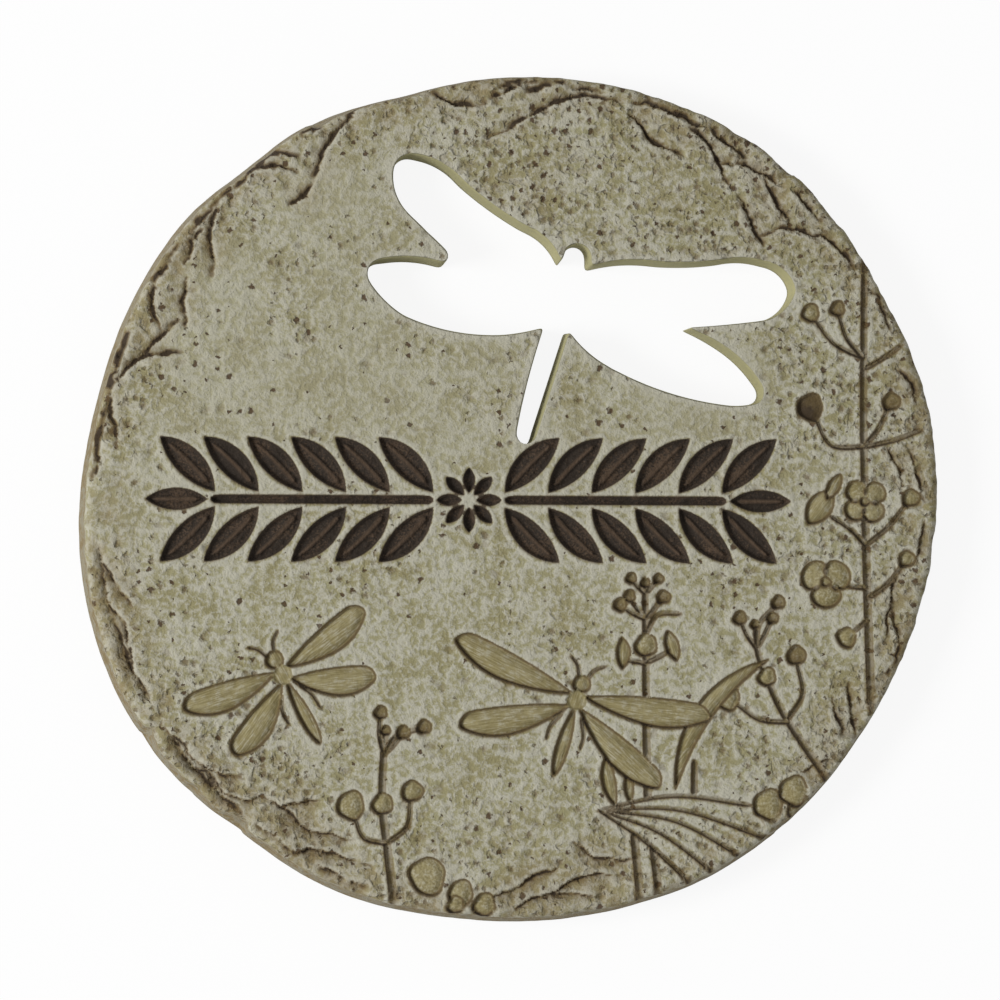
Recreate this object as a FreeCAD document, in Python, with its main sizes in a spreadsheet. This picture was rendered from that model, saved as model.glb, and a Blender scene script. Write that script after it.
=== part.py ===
"""A cast garden stepping stone: one round slab with a dragonfly-shaped opening right through it.

A laurel band and two dragonflies are sunk into its face.

The stone lies flat, face up. The origin is on its underside, below the middle of the slab,
with +Z out of the face and +Y towards the opening. All sizes are millimetres and degrees.
"""
import FreeCAD, Part
import os
from math import cos, radians, sin, tan

# The driving sizes: name, value, what it is.
SIZES = (
    ("stone_width", 254.0, "width of the slab across its underside"),
    ("thickness", 15.0, "height of the face above the underside"),
    ("rim_draft", 5.0, "lean of the rim, which is widest at the underside"),
    ("rim_round", 2.4, "radius of the edge between the rim and the face"),
    ("rim_break", 3.8, "depth of the deepest hollow in the rim's broken outline"),
    ("opening_span", 126.0, "the dragonfly's width across its wing tips, at the face"),
    ("opening_x", 18.7, "the dragonfly's thorax, across the stone"),
    ("opening_y", 59.4, "the dragonfly's thorax, up the stone"),
    ("opening_draft", 2.0, "lean of the opening's wall, which narrows downwards"),
    ("opening_lip", 0.4, "height and width of the bevel round the opening's mouth"),
    ("band_x", -13.0, "the laurel band's middle, across the stone"),
    ("band_y", -1.0, "the laurel band's middle, up the stone"),
    ("band_depth", 1.9, "depth of the laurel band below the face"),
    ("band_gap", 1.1, "width of the ridge left between the band's recesses"),
    ("stem_width", 2.4, "width of the band's stem"),
    ("leaf_length", 22.5, "length of a laurel leaf"),
    ("leaf_pitch", 12.8, "distance along the stem from one pair of leaves to the next"),
    ("leaf_angle", 45.0, "turn of a leaf away from the stem"),
    ("leaf_bow", 0.7, "how much more a leaf swells on the side away from the stem"),
    ("rosette_width", 19.0, "width of the rosette in the band's middle"),
    ("rosette_eye", 4.4, "width left uncut in the middle of the rosette"),
    ("fly_depth", 0.8, "depth of the two sunk dragonflies below the face"),
    ("fly_wing_width", 9.3, "width of a sunk dragonfly's wings"),
    ("fly_head_width", 5.4, "width of a sunk dragonfly's head"),
    ("fly_tail", 20.5, "length of a sunk dragonfly's tail"),
    ("fly_tail_width", 3.9, "width of a sunk dragonfly's tail"),
    ("left_fly_wing", 30.0, "length of the left dragonfly's fore wings"),
    ("right_fly_wing", 39.5, "length of the right dragonfly's fore wings"),
)

# The rim's broken outline: an angle from +X, and how far the edge lies inside a true circle there,
# as a share of the deepest hollow. A negative share stands outside the circle.
RIM_BREAKS = (
    (0, 0.03), (17, -0.08), (27, 0.18), (42, -0.16), (53, -0.32), (72, 0.05),
    (94, 0.66), (105, 1.0), (119, 0.45), (129, 0.66), (139, 0.24), (153, 0.38), (168, 0.5),
    (189, -0.26), (207, -0.6), (221, -0.3), (231, 0.2), (246, 0.13), (263, 0.64),
    (288, 0.47), (297, 0.24), (313, 0.29), (329, 0.45), (345, 0.24),
)
QUARTER = 90.0

# The dragonfly as drawn at the face, clockwise from the left of its head: each corner's place
# measured from the thorax, and the rise of the arc that runs from it to the next corner.
# A rise is positive where the arc swells the opening, and zero makes a straight line.
DRAWN_SPAN = 126.0
HEAD = ((-4.5, 9.6, 0.0), (-3.0, 13.8, 2.5), (4.2, 11.7, 0.0))
RIGHT_FORE_WING = (
    (4.0, 8.4, 1.1), (23.8, 9.9, -0.5), (42.7, 10.5, 0.9),
    (55.8, 10.1, 1.9), (64.5, 1.9, 2.1), (54.5, -7.3, 0.2),
)
RIGHT_HIND_WING = (
    (32.8, -9.4, 0.3), (43.1, -14.6, 0.8), (54.0, -25.4, 1.0),
    (54.2, -31.1, 0.5), (45.0, -32.3, 1.9), (9.2, -20.9, 0.9),
)
TAIL = ((-2.3, -10.6, 0.0), (-12.1, -41.4, 3.0), (-17.9, -41.2, 0.6))
LEFT_HIND_WING = (
    (-9.7, -9.6, 0.3), (-21.8, -11.9, 1.8), (-51.0, -6.3, 0.85), (-61.4, 4.3, 2.0), (-57.1, 10.2, 1.2),
)
LEFT_FORE_WING = (
    (-38.8, 9.0, -0.8), (-38.0, 12.6, 0.0), (-49.1, 23.2, 1.8), (-53.9, 36.8, 1.9),
    (-46.8, 40.9, 1.4), (-33.6, 33.4, -0.6), (-14.8, 20.0, 1.7),
)
DRAGONFLY = HEAD + RIGHT_FORE_WING + RIGHT_HIND_WING + TAIL + LEFT_HIND_WING + LEFT_FORE_WING

# The laurel band has this many pairs of leaves on each half, an end leaf of this share of a leaf's
# length, and this many petals in its rosette.
LEAF_PAIRS = 6
END_LEAF = 0.8
PETALS = 8

# A sunk dragonfly's wing, from its root round by its front edge. Each corner is a share of the wing's
# length along it and of its width across it, positive towards the head, and then the swell of the edge
# to the next corner as a share of the width.
WING = ((0.0, 0.0, 0.06), (0.86, 0.22, 0.12), (0.98, -0.22, 0.16), (0.52, -0.62, 0.0))
FORE_TURN, HIND_TURN, HIND_SHARE = 80.0, 115.0, 0.87

# Distances from the thorax, ahead of it and out along a wing, at which the pieces begin.
FORE_STEP, HIND_STEP, TAIL_STEP, HEAD_STEP, WING_STEP = 1.4, -1.2, -2.4, 5.0, 1.2

# The two sunk dragonflies: the size that gives the wings' length, the thorax, and the head's direction.
FLIES = (("left_fly_wing", -67.6, -52.4, 119.0), ("right_fly_wing", 18.6, -59.6, 73.0))

# The rounded edge is made of this many flats, and a sharp corner that is drawn in or out
# moves at most this many times as far as the sides that meet there.
ROUND_STEPS = 3
MITRE_LIMIT = 1.5


def make_sheet(document):
    """Put the driving sizes into a spreadsheet, one row each, with the size's name as its alias."""
    sheet = document.addObject("Spreadsheet::Sheet", "sizes")
    for row, (name, value, meaning) in enumerate(SIZES, start=1):
        sheet.set(f"A{row}", name)
        sheet.set(f"B{row}", str(value))
        sheet.set(f"C{row}", meaning)
        sheet.setAlias(f"B{row}", name)
    document.recompute()
    return sheet


def add_sketch(body, name, height, curves):
    """Draw curves in a sketch parallel to the underside, at the height that an expression gives."""
    plane = next(feature for feature in body.Origin.OriginFeatures if feature.Role == "XY_Plane")
    sketch = body.newObject("Sketcher::SketchObject", name)
    sketch.AttachmentSupport = (plane, [""])
    sketch.MapMode = "FlatFace"
    sketch.setExpression("AttachmentOffset.Base.z", height)
    for curve in curves:
        sketch.addGeometry(curve, False)
    return sketch


def rim_curves(sheet, inset):
    """The slab's outline in four quarter turns, drawn in from the underside's edge by inset."""
    radius = sheet.stone_width / 2 - inset
    points = []
    for angle, share in RIM_BREAKS:
        ray = FreeCAD.Vector(cos(radians(angle)), sin(radians(angle)), 0)
        points.append(ray * (radius - share * sheet.rim_break))
    turns = [angle for angle, _ in RIM_BREAKS]
    outline = Part.BSplineCurve()
    outline.interpolate(Points=points, PeriodicFlag=True, Parameters=turns + [turns[0] + 4 * QUARTER])
    return [outline.toBSpline(QUARTER * turn, QUARTER * (turn + 1)) for turn in range(4)]


def arc_between(start, end, rise):
    """A line, or an arc that rises to the left of its chord by rise."""
    if rise == 0:
        return Part.LineSegment(start, end)
    left = FreeCAD.Vector(start.y - end.y, end.x - start.x, 0).normalize()
    return Part.Arc(start, (start + end) / 2 + left * rise, end)


def closed_outline(corners, rises):
    """Join corners in a ring, each to the next by a line or an arc of its rise."""
    return [arc_between(a, b, rise) for a, b, rise in zip(corners, corners[1:] + corners[:1], rises)]


def opening_curves(sheet, inset):
    """The dragonfly's outline in its place on the stone, drawn in from its outline at the face by inset."""
    scale = sheet.opening_span / DRAWN_SPAN
    thorax = FreeCAD.Vector(sheet.opening_x, sheet.opening_y, 0)
    corners = [thorax + FreeCAD.Vector(x, y, 0) * scale for x, y, _ in DRAGONFLY]
    rises = [rise * scale for _, _, rise in DRAGONFLY]
    sides = closed_outline(corners, rises)
    moved = []
    for corner, before, after in zip(corners, sides[-1:] + sides[:-1], sides):
        arriving = before.tangent(before.LastParameter)[0]
        leaving = after.tangent(after.FirstParameter)[0]
        inward = FreeCAD.Vector(arriving.y + leaving.y, -arriving.x - leaving.x, 0)
        reach = min(2 / inward.Length, MITRE_LIMIT)
        moved.append(corner + inward.normalize() * inset * reach)
    return closed_outline(moved, rises)


def add_loft(body, kind, name, sections):
    """Join a column of sketches by straight-sided walls, as added or cut material."""
    loft = body.newObject(kind, name)
    loft.Profile = sections[0]
    loft.Sections = sections[1:]
    loft.Ruled = True
    return loft


def ray(angle):
    """The unit vector at an angle from +X."""
    return FreeCAD.Vector(cos(radians(angle)), sin(radians(angle)), 0)


def leaf_outline(root, angle, length, width, bow=0.0):
    """Two arcs from a leaf's root to its tip and back, the left one swelled by bow and the right one less."""
    return closed_outline([root, root + ray(angle) * length], [width / 2 + bow, width / 2 - bow])


def bar_outline(start, end, width):
    """A straight bar between two points on one level, with square ends."""
    up = FreeCAD.Vector(0, width / 2, 0)
    return closed_outline([start - up, end - up, end + up, start + up], [0, 0, 0, 0])


def band_curves(sheet):
    """The laurel band: a rosette, and on each side of it a stem with pairs of leaves and an end leaf."""
    middle = FreeCAD.Vector(sheet.band_x, sheet.band_y, 0)
    leaf_width = sheet.leaf_pitch * sin(radians(sheet.leaf_angle)) - sheet.band_gap
    first = sheet.rosette_width / 2 + sheet.band_gap
    last = first + (LEAF_PAIRS - 1) * sheet.leaf_pitch
    stem_end = last + sheet.band_gap
    lift = FreeCAD.Vector(0, sheet.stem_width / 2 + sheet.band_gap, 0)
    curves = []
    for side, out in ((1, 0), (-1, 2 * QUARTER)):
        curves += bar_outline(middle + ray(out) * first, middle + ray(out) * stem_end, sheet.stem_width)
        end_root = middle + ray(out) * (stem_end + sheet.band_gap)
        curves += leaf_outline(end_root, out, END_LEAF * sheet.leaf_length, END_LEAF * leaf_width)
        for pair in range(LEAF_PAIRS):
            for fall in (1, -1):
                root = middle + ray(out) * (first + pair * sheet.leaf_pitch) + lift * fall
                turn = side * fall
                curves += leaf_outline(
                    root, out + turn * sheet.leaf_angle, sheet.leaf_length, leaf_width, turn * sheet.leaf_bow
                )
    eye, reach = sheet.rosette_eye / 2, sheet.rosette_width / 2
    petal_width = (eye + reach) * sin(radians(2 * QUARTER / PETALS)) - sheet.band_gap
    for petal in range(PETALS):
        angle = 4 * QUARTER * petal / PETALS
        curves += leaf_outline(middle + ray(angle) * eye, angle, reach - eye, petal_width)
    return curves


def wing_outline(root, angle, length, width, side):
    """A wing along an angle, on the left of its dragonfly where side is 1 and on the right where it is -1."""
    along, front = ray(angle) * length, ray(angle - side * QUARTER) * width
    corners = [root + along * reach + front * across for reach, across, _ in WING]
    return closed_outline(corners, [-side * swell * width for _, _, swell in WING])


def fly_curves(sheet, wing, x, y, angle):
    """A dragonfly with its thorax at a place and its head towards an angle: four wings, a head and a tail."""
    thorax, ahead = FreeCAD.Vector(x, y, 0), ray(angle)
    curves = [Part.Circle(thorax + ahead * HEAD_STEP, FreeCAD.Vector(0, 0, 1), sheet.fly_head_width / 2)]
    curves += leaf_outline(thorax + ahead * TAIL_STEP, angle + 2 * QUARTER, sheet.fly_tail, sheet.fly_tail_width)
    for side in (1, -1):
        for step, turn, share in ((FORE_STEP, FORE_TURN, 1), (HIND_STEP, HIND_TURN, HIND_SHARE)):
            out = angle + side * turn
            root = thorax + ahead * step + ray(out) * WING_STEP
            curves += wing_outline(root, out, share * wing, sheet.fly_wing_width, side)
    return curves


def add_slab(body, sheet):
    """The slab: a leaning rim from the underside up to a rounded edge round the face."""
    lean = tan(radians(sheet.rim_draft))
    sections = [add_sketch(body, "underside_outline", "0", rim_curves(sheet, 0))]
    for step in range(ROUND_STEPS + 1):
        turn = radians(QUARTER * step / ROUND_STEPS)
        height = f"sizes.thickness - sizes.rim_round * {1 - sin(turn)}"
        inset = (sheet.thickness - sheet.rim_round) * lean + sheet.rim_round * (1 - cos(turn))
        sections.append(add_sketch(body, f"edge_outline_{step}", height, rim_curves(sheet, inset)))
    return add_loft(body, "PartDesign::AdditiveLoft", "slab", sections)


def add_opening(body, sheet):
    """The dragonfly right through the slab: a bevelled mouth, then a wall that narrows downwards."""
    lean = tan(radians(sheet.opening_draft))
    levels = (
        ("opening_mouth", "sizes.thickness", -sheet.opening_lip),
        ("opening_wall", "sizes.thickness - sizes.opening_lip", 0),
        ("opening_foot", "0", (sheet.thickness - sheet.opening_lip) * lean),
    )
    sections = [add_sketch(body, name, height, opening_curves(sheet, inset)) for name, height, inset in levels]
    return add_loft(body, "PartDesign::SubtractiveLoft", "dragonfly_opening", sections)


def add_carving(body, name, depth, curves):
    """Sink closed outlines into the face, all to the depth that an expression gives."""
    carving = body.newObject("PartDesign::Pocket", name)
    carving.Profile = add_sketch(body, f"{name}_outlines", "sizes.thickness", curves)
    carving.setExpression("Length", depth)
    return carving


def check(document, bodies):
    """Stop the build if any object failed, or if a body's shape is empty, broken or in several pieces."""
    for item in document.Objects:
        if {"Invalid", "Error"} & set(item.State):
            raise RuntimeError(f"{item.Label} failed: {item.State}")
    for body in bodies:
        if body.Shape.isNull() or not body.Shape.isValid() or len(body.Shape.Solids) != 1:
            raise RuntimeError(f"{body.Label} is not one sound solid")


document = FreeCAD.newDocument("stepping_stone")
sizes = make_sheet(document)
stone = document.addObject("PartDesign::Body", "stone")
stone.Label = "stone"
add_slab(stone, sizes)
document.recompute()
volumes = [stone.Shape.Volume]
add_opening(stone, sizes)
document.recompute()
volumes.append(stone.Shape.Volume)
add_carving(stone, "laurel_band", "sizes.band_depth", band_curves(sizes))
document.recompute()
volumes.append(stone.Shape.Volume)
flies = [curve for size, *place in FLIES for curve in fly_curves(sizes, sizes.get(size), *place)]
add_carving(stone, "sunk_dragonflies", "sizes.fly_depth", flies)
document.recompute()
volumes.append(stone.Shape.Volume)
check(document, [stone])
if any(after >= before for before, after in zip(volumes, volumes[1:])):
    raise RuntimeError("an opening or a carving cut nothing")

os.makedirs("parts", exist_ok=True)
stone.Shape.exportStep(f"parts/{stone.Label}.step")
print(f"{stone.Label}: {stone.Shape.Volume / 1000:.1f} cm3, {len(stone.Shape.Faces)} faces")
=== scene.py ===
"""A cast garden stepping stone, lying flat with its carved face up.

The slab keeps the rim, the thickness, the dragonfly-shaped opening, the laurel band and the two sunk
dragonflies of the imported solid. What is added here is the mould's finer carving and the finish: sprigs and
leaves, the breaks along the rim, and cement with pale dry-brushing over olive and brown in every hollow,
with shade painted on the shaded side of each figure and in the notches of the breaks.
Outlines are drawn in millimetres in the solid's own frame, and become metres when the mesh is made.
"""
import logging
import math
from collections.abc import Sequence
from dataclasses import dataclass, fields
from enum import Enum

import bpy
import numpy as np
from mathutils import Matrix, Vector
from mathutils.geometry import delaunay_2d_cdt


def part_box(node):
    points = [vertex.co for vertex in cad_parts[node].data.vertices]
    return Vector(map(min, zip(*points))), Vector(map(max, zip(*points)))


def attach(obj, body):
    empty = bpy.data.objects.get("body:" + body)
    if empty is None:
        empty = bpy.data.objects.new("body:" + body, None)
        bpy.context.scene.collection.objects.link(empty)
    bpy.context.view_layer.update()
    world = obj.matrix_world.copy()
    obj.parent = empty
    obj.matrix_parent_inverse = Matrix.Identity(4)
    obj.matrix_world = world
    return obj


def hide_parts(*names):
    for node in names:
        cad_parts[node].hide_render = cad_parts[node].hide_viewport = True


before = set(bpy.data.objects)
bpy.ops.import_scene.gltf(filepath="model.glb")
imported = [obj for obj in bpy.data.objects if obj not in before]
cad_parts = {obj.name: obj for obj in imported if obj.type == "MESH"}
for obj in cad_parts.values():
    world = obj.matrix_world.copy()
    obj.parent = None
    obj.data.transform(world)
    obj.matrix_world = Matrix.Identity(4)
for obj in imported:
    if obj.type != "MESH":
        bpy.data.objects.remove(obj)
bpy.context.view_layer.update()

Array = np.ndarray
Place = tuple[float, float]
Triple = tuple[float, float, float]
Colour = tuple[float, float, float, float]

MM = 0.001
WHITE: Colour = (1.0, 1.0, 1.0, 1.0)
PAIRS_AT_ONCE = 2_000_000
log = logging.getLogger("stepping_stone")


def placed(name: str, data: bpy.types.ID) -> bpy.types.Object:
    """Put a mesh, lamp or camera into the scene, at the origin.

    Args:
        name: the object's name.
        data: what it shows.

    Returns:
        The object.
    """
    made = bpy.data.objects.new(name, data)
    bpy.context.scene.collection.objects.link(made)
    return made


# Sums on arrays of points

def ease(low: float, high: float, values: Array) -> Array:
    """Rise from 0 at low to 1 at high, as 3t^2 - 2t^3 of the clamped share t."""
    share = np.clip((values - low) / (high - low), 0.0, 1.0)
    return share * share * (3.0 - 2.0 * share)


def bell(values: Array, middle: float, spread: float) -> Array:
    """A hump of height 1 at the middle that has died away three spreads from it."""
    return np.exp(-(((values - middle) / spread) ** 2))


def heading(degrees: float | Array) -> Array:
    """The unit vector at an angle from +X, turning towards +Y."""
    turn = np.radians(degrees)
    return np.stack([np.cos(turn), np.sin(turn)], axis=-1)


def hermite(share: Array, start: Array, end: Array, leave: Array, arrive: Array) -> Array:
    """A cubic from start to end whose slopes at its ends are leave and arrive.

    Args:
        share: how far along the cubic, 0 to 1.
        start: the value at share 0.
        end: the value at share 1.
        leave: the slope at share 0, for a share that runs over 1.
        arrive: the slope at share 1.

    Returns:
        The cubic's values.
    """
    blend = share * share * (3.0 - 2.0 * share)
    swing = share * (1.0 - share)
    return start + (end - start) * blend + swing * ((1.0 - share) * leave - share * arrive)


def smooth_path(places: Sequence[Place], steps: int = 14) -> Array:
    """A line through every place: cubics whose slope at a place is half the chord of its neighbours.

    Args:
        places: the points to go through.
        steps: points on each cubic.

    Returns:
        The points of the line, one row each.
    """
    spots = np.array(places, float)
    spots = np.vstack([2.0 * spots[0] - spots[1], spots, 2.0 * spots[-1] - spots[-2]])
    share = np.linspace(0.0, 1.0, steps, endpoint=False)[:, None]
    pieces = []
    for before, start, end, after in zip(spots, spots[1:], spots[2:], spots[3:]):
        pieces.append(hermite(share, start, end, (end - before) / 2.0, (after - start) / 2.0))
    return np.vstack([*pieces, spots[-2:-1]])


def gone_along(line: Array) -> Array:
    """The distance from a line's start to each of its points, measured along it."""
    return np.concatenate([[0.0], np.cumsum(np.linalg.norm(np.diff(line, axis=0), axis=1))])


def left_normals(line: Array) -> Array:
    """Unit vectors to the left of a line, square to the central differences of its points.

    Args:
        line: the points of the line, one row each.

    Returns:
        One vector for each point.
    """
    tangent = np.gradient(line, axis=0)
    tangent /= np.maximum(np.linalg.norm(tangent, axis=1), 1e-9)[:, None]
    return np.stack([-tangent[:, 1], tangent[:, 0]], axis=1)


def softened(ring: Array, times: int) -> Array:
    """A closed outline whose points go halfway to the mean of their neighbours, some times over.

    Args:
        ring: the outline's points.
        times: how often it is done.

    Returns:
        The softer outline.
    """
    for _ in range(times):
        ring = 0.5 * ring + 0.25 * (np.roll(ring, 1, axis=0) + np.roll(ring, -1, axis=0))
    return ring


def arc_points(start: Array, end: Array, rise: float, share: Array) -> Array:
    """Points on a line, or on an arc that rises to the left of its chord.

    An arc of chord c and rise h has a half turn of 2 atan(2h / c), sampled evenly over that turn.

    Args:
        start: the first end.
        end: the other end.
        rise: the arc's height above its chord, or 0 for a line.
        share: where the points are, 0 to 1.

    Returns:
        The points, one row each.
    """
    chord = end - start
    if rise == 0.0:
        return start + share[:, None] * chord
    left = np.array([-chord[1], chord[0]]) / np.linalg.norm(chord)
    half = 2.0 * math.atan(2.0 * rise / np.linalg.norm(chord))
    turn = half * (2.0 * share - 1.0)
    along = 0.5 + 0.5 * np.sin(turn) / math.sin(half)
    height = rise * (np.cos(turn) - math.cos(half)) / (1.0 - math.cos(half))
    return start + along[:, None] * chord + height[:, None] * left


def arc_counts(corners: Array, spacing: float) -> Array:
    """How many points each side of a closed outline needs for them to lie about a spacing apart."""
    lengths = np.linalg.norm(np.roll(corners, -1, axis=0) - corners, axis=1)
    return np.maximum(np.round(lengths / spacing).astype(int), 3)


def arc_ring(corners: Array, rises: Sequence[float], counts: Array) -> Array:
    """A closed outline whose corners are joined by lines and arcs.

    Args:
        corners: the corners in order, one row each.
        rises: the rise of the side from each corner to the next.
        counts: the number of points on each side.

    Returns:
        The outline's points.
    """
    pieces = []
    for start, end, rise, count in zip(corners, np.roll(corners, -1, axis=0), rises, counts):
        pieces.append(arc_points(start, end, rise, np.linspace(0.0, 1.0, count, endpoint=False)))
    return np.vstack(pieces)


def spaced(line: Array, spacing: float) -> Array:
    """Points spread evenly along a line, with its two ends.

    Args:
        line: the points of the line.
        spacing: about how far apart the new ones lie.

    Returns:
        The new points.
    """
    gone = gone_along(line)
    at = np.linspace(0.0, gone[-1], max(2, round(gone[-1] / spacing) + 1))
    return np.column_stack([np.interp(at, gone, line[:, axis]) for axis in range(2)])


def thinned(points: Array, spacing: float) -> Array:
    """The points, without any whose square cell touches or is the cell of an earlier one.

    Args:
        points: the points, one row each.
        spacing: the side of a cell.

    Returns:
        The points that are kept, at least a cell apart.
    """
    taken: set[tuple[int, int]] = set()
    kept = []
    for number, (column, row) in enumerate(np.round(points / spacing).astype(int).tolist()):
        around = {(column + i, row + j) for i in (-1, 0, 1) for j in (-1, 0, 1)}
        if taken.isdisjoint(around):
            taken.add((column, row))
            kept.append(number)
    return points[kept]


def line_offsets(points: Array, starts: Array, ends: Array) -> tuple[Array, Array, Array]:
    """Each point's nearest place on a set of straight pieces.

    The share along a piece is the point's offset projected on it, held between 0 and 1.

    Args:
        points: the points to measure, one row each.
        starts: the first end of every piece.
        ends: the other end of every piece.

    Returns:
        The offset from the nearest place to the point, the piece it is on, and the share along it.
    """
    sides = ends - starts
    squares = np.maximum((sides ** 2).sum(axis=1), 1e-12)
    offsets = np.empty_like(points)
    pieces = np.empty(len(points), int)
    shares = np.empty(len(points))
    batches = len(points) * len(starts) // PAIRS_AT_ONCE + 1
    for batch in np.array_split(np.arange(len(points)), batches):
        gap = points[batch][:, None, :] - starts[None]
        share = np.clip((gap * sides).sum(axis=2) / squares, 0.0, 1.0)
        gap -= share[..., None] * sides
        nearest = (gap ** 2).sum(axis=2).argmin(axis=1)
        rows = np.arange(len(batch))
        offsets[batch] = gap[rows, nearest]
        pieces[batch] = nearest
        shares[batch] = share[rows, nearest]
    return offsets, pieces, shares


def inside_ring(points: Array, ring: Array) -> Array:
    """Whether each point is inside a closed outline: a ray along +X crosses it an odd number of times.

    Args:
        points: the points to test, one row each.
        ring: the outline's points in order.

    Returns:
        One truth value for each point.
    """
    ends = np.roll(ring, -1, axis=0)
    rises = ends[:, 1] - ring[:, 1]
    slopes = (ends[:, 0] - ring[:, 0]) / np.where(rises == 0.0, 1.0, rises)
    crossings = np.zeros(len(points), int)
    batches = len(points) * len(ring) // PAIRS_AT_ONCE + 1
    for batch in np.array_split(np.arange(len(points)), batches):
        x, y = points[batch].T
        spans = (ring[:, 1] > y[:, None]) != (ends[:, 1] > y[:, None])
        ahead = x[:, None] < ring[:, 0] + (y[:, None] - ring[:, 1]) * slopes
        crossings[batch] = (spans & ahead).sum(axis=1)
    return crossings % 2 == 1


def ring_depth(points: Array, ring: Array) -> tuple[Array, Array]:
    """How far each point lies inside a closed outline.

    Args:
        points: the points to measure, one row each.
        ring: the outline's points in order, without the first one again.

    Returns:
        The depth inside, negative outside, and the unit vector that leads out at the nearest edge.
    """
    offsets, _, _ = line_offsets(points, ring, np.roll(ring, -1, axis=0))
    reach = np.linalg.norm(offsets, axis=1)
    sign = np.where(inside_ring(points, ring), 1.0, -1.0)
    outward = -sign[:, None] * offsets / np.maximum(reach, 1e-9)[:, None]
    return sign * reach, outward


class Grain:
    """Seeded smooth noise over the plane of the face."""

    TILE = 128
    SHIFT = 31.7

    def __init__(self, seed: int) -> None:
        """Draw the slopes of the noise, one for each whole-number corner of a tile."""
        turns = np.random.default_rng(seed).uniform(0.0, 360.0, (self.TILE, self.TILE))
        self.slopes = heading(turns)

    def at(self, points: Array, size: float) -> Array:
        """Gradient noise: the four corners' sloping planes, blended by 6t^5 - 15t^4 + 10t^3.

        Args:
            points: where to read it, in millimetres.
            size: the distance from one corner to the next.

        Returns:
            Values from about -1 to 1.
        """
        corner = np.floor(points / size).astype(int)
        part = points / size - corner
        blend = part ** 3 * (part * (part * 6.0 - 15.0) + 10.0)
        total = np.zeros(len(points))
        for step in np.ndindex(2, 2):
            slope = self.slopes[tuple(((corner + step) % self.TILE).T)]
            weight = np.where(step, blend, 1.0 - blend).prod(axis=1)
            total += weight * (slope * (part - step)).sum(axis=1)
        return 1.5 * total

    def layered(self, points: Array, size: float, layers: int = 3) -> Array:
        """Noise over noise: each layer is half the size and half the height of the one before."""
        return sum(self.at(points + self.SHIFT * n, size / 2 ** n) / 2 ** n for n in range(layers))


# The slab's own outlines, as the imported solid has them

@dataclass
class Rim:
    """The slab's broken round edge, which leans in upwards and is rounded at the face.

    It is drawn in from the solid's edge by a small inset, so that it stays inside the solid.
    """

    width: float = 254.0
    lean: float = 5.0
    rounding: float = 2.4
    break_depth: float = 3.8
    spacing: float = 0.95
    inset: float = 0.35
    chip_depth: float = 0.5
    breaks: tuple[Place, ...] = (
        (0, 0.03), (17, -0.08), (27, 0.18), (42, -0.16), (53, -0.32), (72, 0.05),
        (94, 0.66), (105, 1.0), (119, 0.45), (129, 0.66), (139, 0.24), (153, 0.38), (168, 0.5),
        (189, -0.26), (207, -0.6), (221, -0.3), (231, 0.2), (246, 0.13), (263, 0.64),
        (288, 0.47), (297, 0.24), (313, 0.29), (329, 0.45), (345, 0.24),
    )
    notches: tuple[Triple, ...] = (
        (49.5, 1.4, 4.0), (118.0, 1.5, -5.0), (212.5, 1.5, 4.0), (223.0, 0.9, -3.0),
        (231.0, 2.0, -5.0), (309.0, 0.8, 3.0),
    )

    def angles(self) -> Array:
        """The directions, in degrees, of the points that every outline of the rim has."""
        count = round(math.pi * self.width / self.spacing)
        return np.arange(count) * 360.0 / count

    def radius(self, degrees: Array) -> Array:
        """The underside's edge: a circle less the hollows, joined round by cubics.

        Args:
            degrees: directions from the middle.

        Returns:
            The distance from the middle to the edge, in millimetres.
        """
        turns, shares = np.array(self.breaks).T
        turns = np.concatenate([turns[-1:] - 360.0, turns, turns[:2] + 360.0])
        shares = np.concatenate([shares[-1:], shares, shares[:2]])
        slopes = (shares[2:] - shares[:-2]) / (turns[2:] - turns[:-2])
        degrees = np.mod(degrees, 360.0)
        at = np.clip(np.searchsorted(turns, degrees, side="right") - 1, 1, len(slopes) - 1)
        span = turns[at + 1] - turns[at]
        share = (degrees - turns[at]) / span
        hollow = hermite(share, shares[at], shares[at + 1], slopes[at - 1] * span, slopes[at] * span)
        return self.width / 2.0 - self.inset - self.break_depth * hollow

    def chips(self, degrees: Array, grain: Grain) -> Array:
        """How far the edge is broken back: noise round the rim, and notches that open at once and fade.

        Each notch has its direction in degrees, its depth and the turn over which it fades.

        Args:
            degrees: directions from the middle.
            grain: the noise that breaks it.

        Returns:
            Depths in millimetres, none below zero.
        """
        round_trip = self.width / 2.0 * heading(degrees)
        depth = self.chip_depth * np.clip(0.35 + grain.layered(round_trip, 9.0), 0.0, 1.0)
        for angle, size, fade in self.notches:
            past = (np.mod(degrees - angle + 180.0, 360.0) - 180.0) / fade
            depth = depth + size * ease(-0.12, 0.0, past) * (1.0 - ease(0.0, 1.0, past))
        return depth


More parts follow.
